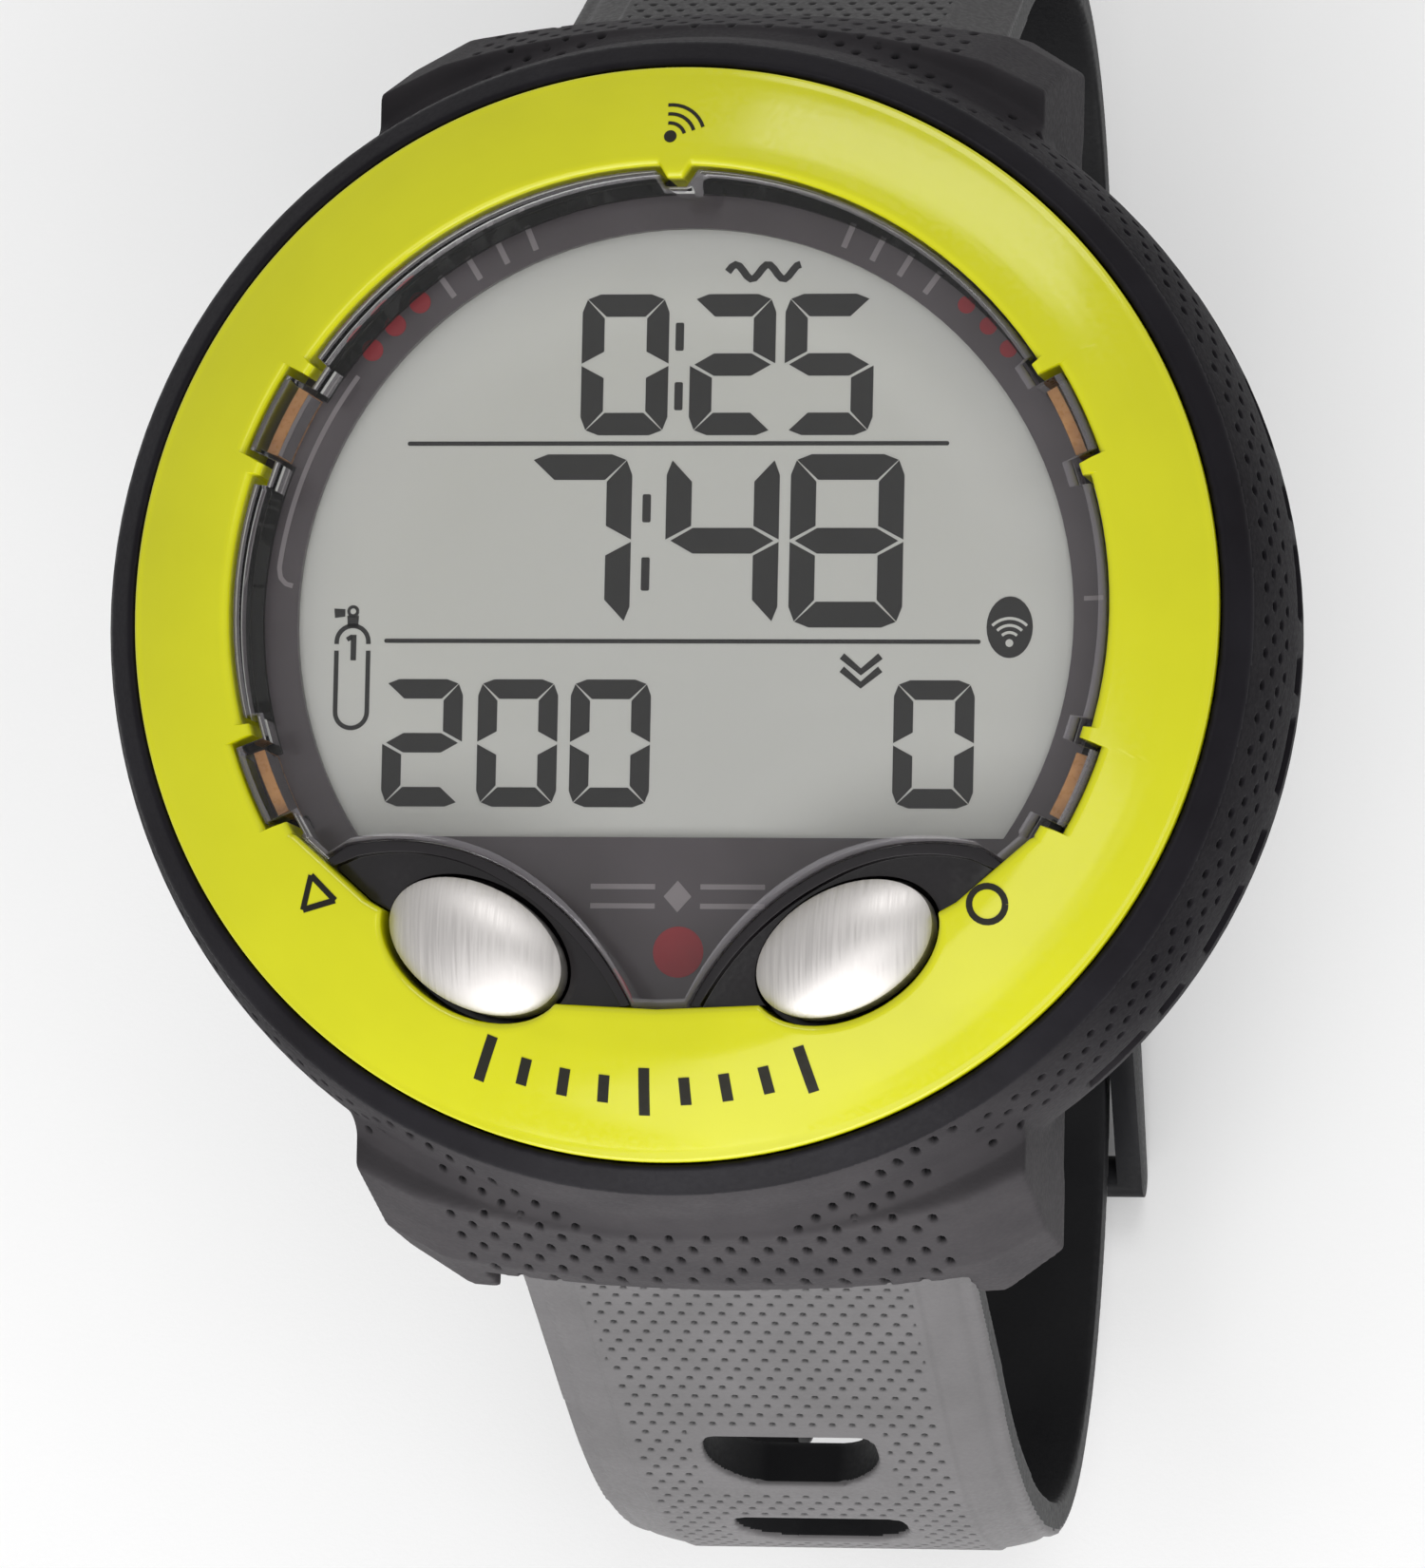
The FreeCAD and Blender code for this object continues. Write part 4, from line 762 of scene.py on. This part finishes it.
def grid_mesh(name, loops, close_rows=True):
    """A skin over loops of points, each loop closed round the axis; close_rows joins last to first."""
    count = len(loops)
    size = len(loops[0])
    points = np.concatenate(loops) * MM
    faces = []
    for row in range(count if close_rows else count - 1):
        after = (row + 1) % count
        for column in range(size):
            beside = (column + 1) % size
            near = (row * size + column, row * size + beside)
            faces.append((*near, after * size + beside, after * size + column))
    mesh = bpy.data.meshes.new(name)
    mesh.from_pydata(points.tolist(), [], faces)
    shape = bmesh.new()
    shape.from_mesh(mesh)
    bmesh.ops.holes_fill(shape, edges=[e for e in shape.edges if e.is_boundary])
    bmesh.ops.recalc_face_normals(shape, faces=shape.faces)
    shape.to_mesh(mesh)
    shape.free()
    mesh.shade_smooth()
    mesh.set_sharp_from_angle(angle=SHARP_ANGLE)
    return mesh


def cast_round(node, z):
    """The distance from the axis to the node's first wall, all the way round."""
    tree = BVHTree.FromObject(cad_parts[node], bpy.context.evaluated_depsgraph_get())
    angles = np.linspace(0, 2 * math.pi, TURN_STEPS, endpoint=False)
    reach = []
    for angle in angles:
        hit = tree.ray_cast(Vector((0, 0, z * MM)), Vector((math.cos(angle), math.sin(angle), 0)))
        reach.append(hit[3] / MM if hit[0] else 0.0)
    return angles, np.array(reach)


def crown_profile():
    """The bezel's height over its distance from the axis, read where the ring is widest."""
    tree = BVHTree.FromObject(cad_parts["bezel_ring"], bpy.context.evaluated_depsgraph_get())
    radii = np.linspace(*CROWN_SPAN, CROWN_SAMPLES)
    heights = []
    for radius in radii:
        hit = tree.ray_cast(Vector((0, -radius * MM, ABOVE_ALL * MM)), Vector((0, 0, -1)))
        heights.append(hit[0].z / MM)
    return radii, np.array(heights)


CROWN_R, CROWN_Z = crown_profile()


def crown(radius):
    """The bezel's height at a distance from the axis."""
    return np.interp(radius, CROWN_R, CROWN_Z)


def build_bezel():
    """The glossy yellow ring, with a rounded inner edge that follows the lens and the buttons."""
    angles, inner = cast_round("bezel_ring", BEZEL_CAST_Z)
    low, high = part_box("bezel_ring")
    outer = high.x / MM
    seat = low.z / MM
    ways = np.stack([np.cos(angles), np.sin(angles)], 1)

    def loop(radius, height):
        radius = np.broadcast_to(radius, angles.shape)
        height = np.broadcast_to(height, angles.shape)
        return np.column_stack([ways * radius[:, None], height])

    loops = [loop(inner, seat)]
    for height in (seat + 2.0, seat + 4.0):
        loops.append(loop(inner, height))
    for step in np.linspace(0, math.pi / 2, 7):
        radius = inner + BEZEL_EDGE_ROUND * (1 - math.cos(step))
        height = crown(inner + BEZEL_EDGE_ROUND) - BEZEL_EDGE_ROUND * (1 - math.sin(step))
        loops.append(loop(radius, height))
    for share in np.linspace(0, 1, 22)[1:-1]:
        radius = (inner + BEZEL_EDGE_ROUND) * (1 - share) + (outer - BEZEL_RIM_ROUND) * share
        loops.append(loop(radius, crown(radius)))
    rim = crown(outer - BEZEL_RIM_ROUND)
    for step in np.linspace(0, math.pi / 2, 5):
        radius = outer - BEZEL_RIM_ROUND + BEZEL_RIM_ROUND * math.sin(step)
        loops.append(loop(radius, rim - BEZEL_RIM_ROUND * (1 - math.cos(step))))
    loops.append(loop(outer, RING_Z - BEZEL_RIM_DROP))
    loops.append(loop(outer - 0.1, seat + 2.0))
    loops.append(loop(BEZEL_STEP_R, seat + 2.0))
    loops.append(loop(BEZEL_STEP_R, seat))
    mesh = grid_mesh("bezel", loops)
    return finish_piece("bezel_cover", mesh, YELLOW, "case", "bezel_yellow", "bezel_ring")


def build_lens():
    """The clear lens, rounded at its top edge, and cut back to the clips below their tops."""
    low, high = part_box("display_lens")
    top = high.z / MM
    bottom = low.z / MM
    clip_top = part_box("bezel_clips")[1].z / MM
    angles, reach = cast_round("display_lens", (top + clip_top) / 2)
    below = np.minimum(reach, cast_round("display_lens", (bottom + clip_top) / 2)[1]) - CLIP_GAP
    ways = np.stack([np.cos(angles), np.sin(angles)], 1)

    def loop(radius, height):
        return np.column_stack([ways * radius[:, None], np.full(len(angles), height)])

    loops = []
    for share in (0.02, 0.3, 0.6, 0.85, 0.95):
        loops.append(loop((reach - LENS_EDGE_ROUND) * share, top))
    for step in np.linspace(0, math.pi / 2, 5):
        height = top - LENS_EDGE_ROUND * (1 - math.cos(step))
        loops.append(loop(reach - LENS_EDGE_ROUND * (1 - math.sin(step)), height))
    loops.append(loop(reach, clip_top + 2 * CLIP_GAP))
    loops.append(loop(below, clip_top + CLIP_GAP))
    loops.append(loop(below, bottom))
    for share in (0.9, 0.5, 0.02):
        loops.append(loop(below * share, bottom))
    mesh = grid_mesh("lens", loops, close_rows=False)
    finish_piece("lens_cover", mesh, [LENS_CLEAR, LENS_EDGE], "case", "clear_lens", "display_lens")

    def rim(centres):
        turn = np.mod(np.arctan2(centres[:, 1], centres[:, 0]), 2 * math.pi)
        limit = np.interp(turn, angles, reach, period=2 * math.pi)
        on_top = centres[:, 2] > top - 1.2 * LENS_EDGE_ROUND
        return on_top & (np.hypot(centres[:, 0], centres[:, 1]) > limit - LENS_EDGE_ROUND)

    paint(mesh, rim)


def slab_piece(name, outlines, height, made, body, slot, thickness=PRINT_T):
    """Thin printed shapes: outlines in plan, laid on a height that may vary over the plan."""
    shape = bmesh.new()
    for outline in outlines:
        base = [shape.verts.new((x * MM, y * MM, height(x, y) * MM)) for x, y in outline]
        top = [shape.verts.new((x * MM, y * MM, (height(x, y) + thickness) * MM)) for x, y in outline]
        shape.faces.new(top)
        shape.faces.new(base[::-1])
        for index in range(len(outline)):
            after = (index + 1) % len(outline)
            shape.faces.new((base[index], base[after], top[after], top[index]))
    bmesh.ops.recalc_face_normals(shape, faces=shape.faces)
    mesh = bpy.data.meshes.new(name)
    shape.to_mesh(mesh)
    shape.free()
    return finish_piece(name, mesh, made, body, slot)


def stroke(points, width):
    """A path drawn with a pen of the given width, as short quads."""
    points = np.array(points, float)
    step = np.gradient(points, axis=0)
    across = np.column_stack([-step[:, 1], step[:, 0]])
    across *= width / 2 / np.maximum(np.hypot(*across.T), 1e-9)[:, None]
    left = points + across
    right = points - across
    quads = []
    for index in range(len(points) - 1):
        corners = (right[index], right[index + 1], left[index + 1], left[index])
        quads.append([tuple(corner) for corner in corners])
    return quads


def arc_path(x, y, radius, start, end, steps=12):
    """Points along an arc between two angles in degrees."""
    turns = np.radians(np.linspace(start, end, steps))
    return [(x + radius * math.cos(t), y + radius * math.sin(t)) for t in turns]


def spot(x, y, a, b=None, steps=28):
    """A round or oval patch."""
    turns = np.linspace(0, 2 * math.pi, steps, endpoint=False)
    return [(x + a * math.cos(t), y + (b or a) * math.sin(t)) for t in turns]


DIGIT_SEGMENTS = {
    "0": "abcdef",
    "1": "bc",
    "2": "abged",
    "4": "fgbc",
    "5": "afgcd",
    "7": "abc",
    "8": "abcdefg",
}


def digit(x, y, width, height, pen, figure):
    """One seven-segment figure with rounded outer corners, its lower left corner at x, y."""
    round_r = pen * 0.75
    cut = round_r * (1 - math.sqrt(0.5))
    middle = height / 2
    tip = pen * 0.18
    left_up = [
        (0, middle), (0, height - round_r), (cut, height - cut), (pen, height - pen), (pen, middle + pen / 2)
    ]
    top = [
        (cut, height - cut), (round_r, height), (width - round_r, height), (width - cut, height - cut),
        (width - pen, height - pen), (pen, height - pen),
    ]
    bar = [
        (tip, middle), (pen, middle + pen / 2), (width - pen, middle + pen / 2),
        (width - tip, middle), (width - pen, middle - pen / 2), (pen, middle - pen / 2),
    ]

    def flip(points, across, upside):
        turned = [(width - px if across else px, height - py if upside else py) for px, py in points]
        return turned[::-1] if across != upside else turned

    shapes = {
        "a": top, "d": flip(top, False, True), "f": left_up, "b": flip(left_up, True, False),
        "e": flip(left_up, False, True), "c": flip(left_up, True, True), "g": bar,
    }
    result = []
    for segment in DIGIT_SEGMENTS[figure]:
        points = np.array(shapes[segment], float)
        low = points.min(0)
        high = points.max(0)
        centre = (low + high) / 2
        shrink = 1 - SEGMENT_GAP / (high - low)
        points = centre + (points - centre) * shrink
        result.append([(x + px, y + py) for px, py in points])
    return result


def rounded_bar(x0, x1, y0, y1, radius, steps=5):
    """A bar with rounded corners."""
    outline = []
    for cx, cy, start in (
        (x1 - radius, y1 - radius, 0), (x0 + radius, y1 - radius, 90),
        (x0 + radius, y0 + radius, 180), (x1 - radius, y0 + radius, 270),
    ):
        outline += arc_path(cx, cy, radius, start, start + 90, steps)
    return outline


def build_lcd():
    """Everything that the display shows, as thin dark shapes on its glass."""
    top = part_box("lcd_glass")[1].z / MM + PRINT_LIFT
    shapes = []
    for left, right, figure in TOP_FIGURES:
        shapes += digit(left, 10.5, right - left, 8.2, 1.42, figure)
    for left, right, figure in MIDDLE_FIGURES:
        shapes += digit(left, -0.45, right - left, 10.0, 1.6, figure)
    for left, figure in LOWER_FIGURES:
        shapes += digit(left, -10.7, 4.75, 7.4, 1.25, figure)
    for x, y0, y1 in COLON_BARS:
        shapes.append(rounded_bar(x - 0.24, x + 0.24, y0, y1, 0.1))
    shapes.append(rounded_bar(-16.3, 14.9, 9.98, 10.22, 0.11))
    shapes.append(rounded_bar(-17.4, 16.9, -1.3, -1.06, 0.11))
    shapes += stroke([(2.0 + 0.22 * i, 19.9 + 0.42 * math.sin(i * 0.75)) for i in range(20)], 0.42)
    for drop in (0.0, 0.75):
        shapes += stroke([(9.0, -2.0 - drop), (10.1, -2.9 - drop), (11.2, -2.0 - drop)], 0.4)
    shapes += tank_sign(TANK_X)
    slab_piece("lcd_figures", shapes, lambda x, y: top, LCD_INK, "case", "lcd_glass")
    badge = spot(*BADGE, 1.32, 1.75)
    slab_piece("lcd_badge", [badge], lambda x, y: top, LCD_INK, "case", "lcd_glass")
    waves = [spot(*WAVE_ROOT, 0.22)]
    for radius in (0.6, 1.0, 1.4):
        waves += stroke(arc_path(*WAVE_ROOT, radius, 45, 135), 0.16)
    slab_piece("lcd_badge_waves", waves, lambda x, y: top + PRINT_T, LCD_FACE, "case", "lcd_glass")


def tank_sign(x):
    """A gas tank with its valve, numbered 1, about a vertical line."""
    half = 0.92
    dome = [(x - half, -1.37)] + arc_path(x, -1.25, half, 180, 0, 14) + [(x + half, -1.37)]
    body = [(x + half, -1.75), (x + half, -4.0)] + arc_path(x, -5.25, half, 0, -180, 16)
    body += [(x - half, -4.0), (x - half, -1.75)]
    sign = stroke(dome, 0.26) + stroke(body, 0.26)
    sign += stroke(arc_path(x, 0.5, 0.26, 0, 360, 18), 0.18)
    sign.append([(x - 0.3, -0.4), (x + 0.3, -0.4), (x + 0.34, 0.25), (x - 0.34, 0.25)])
    sign.append([(x - 1.05, 0.12), (x - 0.46, 0.2), (x - 0.46, 0.62), (x - 1.1, 0.66)])
    sign += stroke([(x - 0.32, -1.12), (x - 0.02, -0.94)], 0.26)
    sign.append([(x - 0.1, -2.3), (x + 0.22, -2.3), (x + 0.22, -0.85), (x - 0.1, -0.85)])
    return sign


def build_dial_print():
    """The pale and red marks on the mask round the display."""
    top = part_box("dial_ring")[1].z / MM + PRINT_LIFT
    bracket = arc_path(0, 0, 23.6, 144.0, 173.0, 26)
    bracket += [polar(23.45, 174.3), polar(23.1, 175.1), polar(22.7, 175.3)]
    pale = stroke(bracket, 0.28)
    for turn in DIAL_TICK_TURNS:
        pale += stroke(radial_path(turn, 22.9, 24.4), 0.34)
    pale += stroke(radial_path(3.0, 22.9, 24.0), 0.26)
    for left, right in ((-5.0, -1.3), (1.3, 5.0)):
        for y in (-15.2, -16.3):
            pale += stroke([(left, y), (right, y)], 0.3)
    pale.append([(0.8, -15.75), (0.0, -14.85), (-0.8, -15.75), (0.0, -16.65)])
    slab_piece("dial_marks_pale", pale, lambda x, y: top, PRINT_PALE, "case", "dial_mask")
    red = [spot(0.1, -18.9, 1.45)]
    for turn, radius in DIAL_SPOTS:
        red.append(spot(*polar(23.9, turn), radius))
    slab_piece("dial_marks_red", red, lambda x, y: top, PRINT_RED, "case", "dial_mask")


def polar(radius, degrees):
    """The point at a radius and an angle."""
    turn = math.radians(degrees)
    return (radius * math.cos(turn), radius * math.sin(turn))


def radial_path(degrees, near, far, steps=6):
    """A line along a radius, with enough points to follow a crown."""
    return [polar(radius, degrees) for radius in np.linspace(near, far, steps)]


def build_bezel_print():
    """Plain dark marks on the bezel: a signal sign, a band of ticks and two button signs."""

    def lifted(x, y):
        return float(crown(math.hypot(x, y))) + PRINT_LIFT

    marks = [spot(-0.35, 26.75, 0.36)]
    for radius in (0.95, 1.5, 2.05):
        marks += stroke(arc_path(-0.45, 26.6, radius, 20, 95, 10), 0.2)
    for index in range(BEZEL_TICKS):
        turn = BEZEL_TICK_TURN + (index - BEZEL_TICKS // 2) * BEZEL_TICK_PITCH
        tall = 2.6 if index % 4 == 0 else 1.5
        marks += stroke(radial_path(turn, BEZEL_TICK_R - tall / 2, BEZEL_TICK_R + tall / 2), 0.62)
    marks += triangle(-19.6, -16.3, 1.15, 225.0)
    marks += stroke(arc_path(18.6, -16.6, 1.0, 0, 360, 26), 0.36)
    slab_piece("bezel_marks", marks, lifted, PRINT_DARK, "case", "bezel_yellow", 0.02)


def triangle(x, y, size, degrees):
    """An open triangle drawn with a thin pen."""
    corners = [
        (x + size * math.cos(math.radians(degrees + a)), y + size * math.sin(math.radians(degrees + a)))
        for a in (0, 120, 240, 0)
    ]
    quads = []
    for start, end in zip(corners, corners[1:]):
        quads += stroke([tuple(p) for p in np.linspace(start, end, 5)], 0.34)
    return quads


def make_camera():
    """The camera in front of the display, a little to the right and below."""
    toward = Vector(
        (
            math.sin(CAMERA_SIDE) * math.cos(CAMERA_LIFT),
            -math.sin(CAMERA_LIFT),
            math.cos(CAMERA_SIDE) * math.cos(CAMERA_LIFT),
        )
    )
    up = (Vector((0, 1, 0)) - toward.y * toward).normalized()
    right = up.cross(toward)
    rolled_right = math.cos(CAMERA_ROLL) * right + math.sin(CAMERA_ROLL) * up
    rolled_up = math.cos(CAMERA_ROLL) * up - math.sin(CAMERA_ROLL) * right
    spot_at = Vector((0, 0, RING_Z)) + CAMERA_DISTANCE * toward
    spot_at -= RING_OFFSET[0] * rolled_right + RING_OFFSET[1] * rolled_up
    data = bpy.data.cameras.new("camera")
    data.lens = CAMERA_LENS
    data.sensor_width = CAMERA_SENSOR
    data.clip_start = 0.01
    data.clip_end = 10.0
    camera = bpy.data.objects.new("camera", data)
    bpy.context.scene.collection.objects.link(camera)
    turn = Matrix((rolled_right, rolled_up, toward)).transposed().to_4x4()
    camera.matrix_world = Matrix.Translation(spot_at * MM) @ turn
    bpy.context.scene.camera = camera


def area_light(name, location, target, size, power, turn):
    """A soft box that faces a target, turned about its own axis. Places are in millimetres."""
    data = bpy.data.lights.new(name, "AREA")
    data.shape = "RECTANGLE"
    data.size = size[0] * MM
    data.size_y = size[1] * MM
    data.energy = power
    lamp = bpy.data.objects.new(name, data)
    bpy.context.scene.collection.objects.link(lamp)
    lamp.location = Vector(location) * MM
    away = lamp.location - Vector(target) * MM
    lamp.rotation_mode = "QUATERNION"
    lamp.rotation_quaternion = away.to_track_quat("Z", "Y") @ Quaternion((0, 0, 1), math.radians(turn))


def make_stage():
    """A pale floor under the strap, soft boxes and an even pale sky."""
    scene = bpy.context.scene
    floor_z = CAD_BOX[0].z - FLOOR_GAP * MM
    half = FLOOR_HALF * MM
    mesh = bpy.data.meshes.new("floor")
    corners = [(-half, -half), (half, -half), (half, half), (-half, half)]
    mesh.from_pydata([(x, y, floor_z) for x, y in corners], [], [(0, 1, 2, 3)])
    floor = bpy.data.objects.new("floor", mesh)
    scene.collection.objects.link(floor)
    paper = moulded("floor_paper", (0.86, 0.86, 0.86), (0.9, 0.9, 0.9), 0.8, blotch=60.0, relief=0.01)
    mesh.materials.append(paper)
    world = bpy.data.worlds.new("sky")
    world.use_nodes = True
    world.node_tree.nodes["Background"].inputs["Color"].default_value = (1.0, 1.0, 1.0, 1.0)
    world.node_tree.nodes["Background"].inputs["Strength"].default_value = SKY_STRENGTH
    scene.world = world
    scene.view_settings.view_transform = "Standard"
    for light in LIGHTS:
        area_light(*light)


def build_buttons():
    """The brushed caps in their gloss recesses, over their springs."""
    for word in ("left", "right"):
        cap = soft_copy("button_cap_" + word, 0.3, 4)
        body = "button_" + word
        finish_piece("button_top_" + word, cap, BUTTON_STEEL, body, "steel_button", "button_cap_" + word)
        coil = finish_piece(
            "button_coil_" + word, welded("button_spring_" + word), SPRING_STEEL, "case", "spring_steel",
            "button_spring_" + word,
        )
        coil.data.shade_smooth()
        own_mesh(coil)
        recess = soft_copy("button_frame_" + word, 0.18, 3)
        frame_node = "button_frame_" + word
        finish_piece("button_recess_" + word, recess, GLOSS_BLACK, "case", "gloss_black", frame_node)


def build_back():
    """The case back, its hatch and the ring that locks it."""
    for node, body, slot, made in (
        ("back_plate", "case", "back_plastic", BACK_PLASTIC),
        ("battery_hatch", "case", "back_plastic", BACK_PLASTIC),
        ("hatch_retaining_ring", "hatch_ring", "back_plastic", MODULE_PLASTIC),
    ):
        finish_piece(node + "_skin", soft_copy(node, 0.15, 2), made, body, slot, node)


def build_buckle():
    """The buckle, its tang and the two loops that hold the strap's tail."""
    for node, body, slot, made, width in (
        ("buckle_frame", "buckle", "buckle_black", BUCKLE_BLACK, 0.3),
        ("buckle_tang", "tang", "buckle_black", BUCKLE_BLACK, 0.2),
        ("strap_keeper_fixed", "case", "strap_rubber", CASE_SMOOTH, 0.35),
        ("strap_keeper_sliding", "sliding_keeper", "strap_rubber", CASE_SMOOTH, 0.35),
    ):
        finish_piece(node + "_skin", soft_copy(node, width, 3), made, body, slot, node)


for node_name, node_material in NODE_MATERIALS.items():
    dress(node_name, node_material)
make_camera()
make_stage()
build_case()
SHORT_STRAIGHT = STRAP_STRAIGHT - (STRAP_T + STRAP_LAYER_GAP) / math.cos(math.radians(STRAP_LEAN))
build_strap("strap_long", "strap_lower", -1, STRAP_STRAIGHT, LONG_DOTS_END)
build_strap("strap_short", "strap_upper", 1, SHORT_STRAIGHT, SHORT_DOTS_END)
build_bezel()
build_lens()
build_lcd()
build_dial_print()
build_bezel_print()
build_buttons()
build_back()
build_buckle()
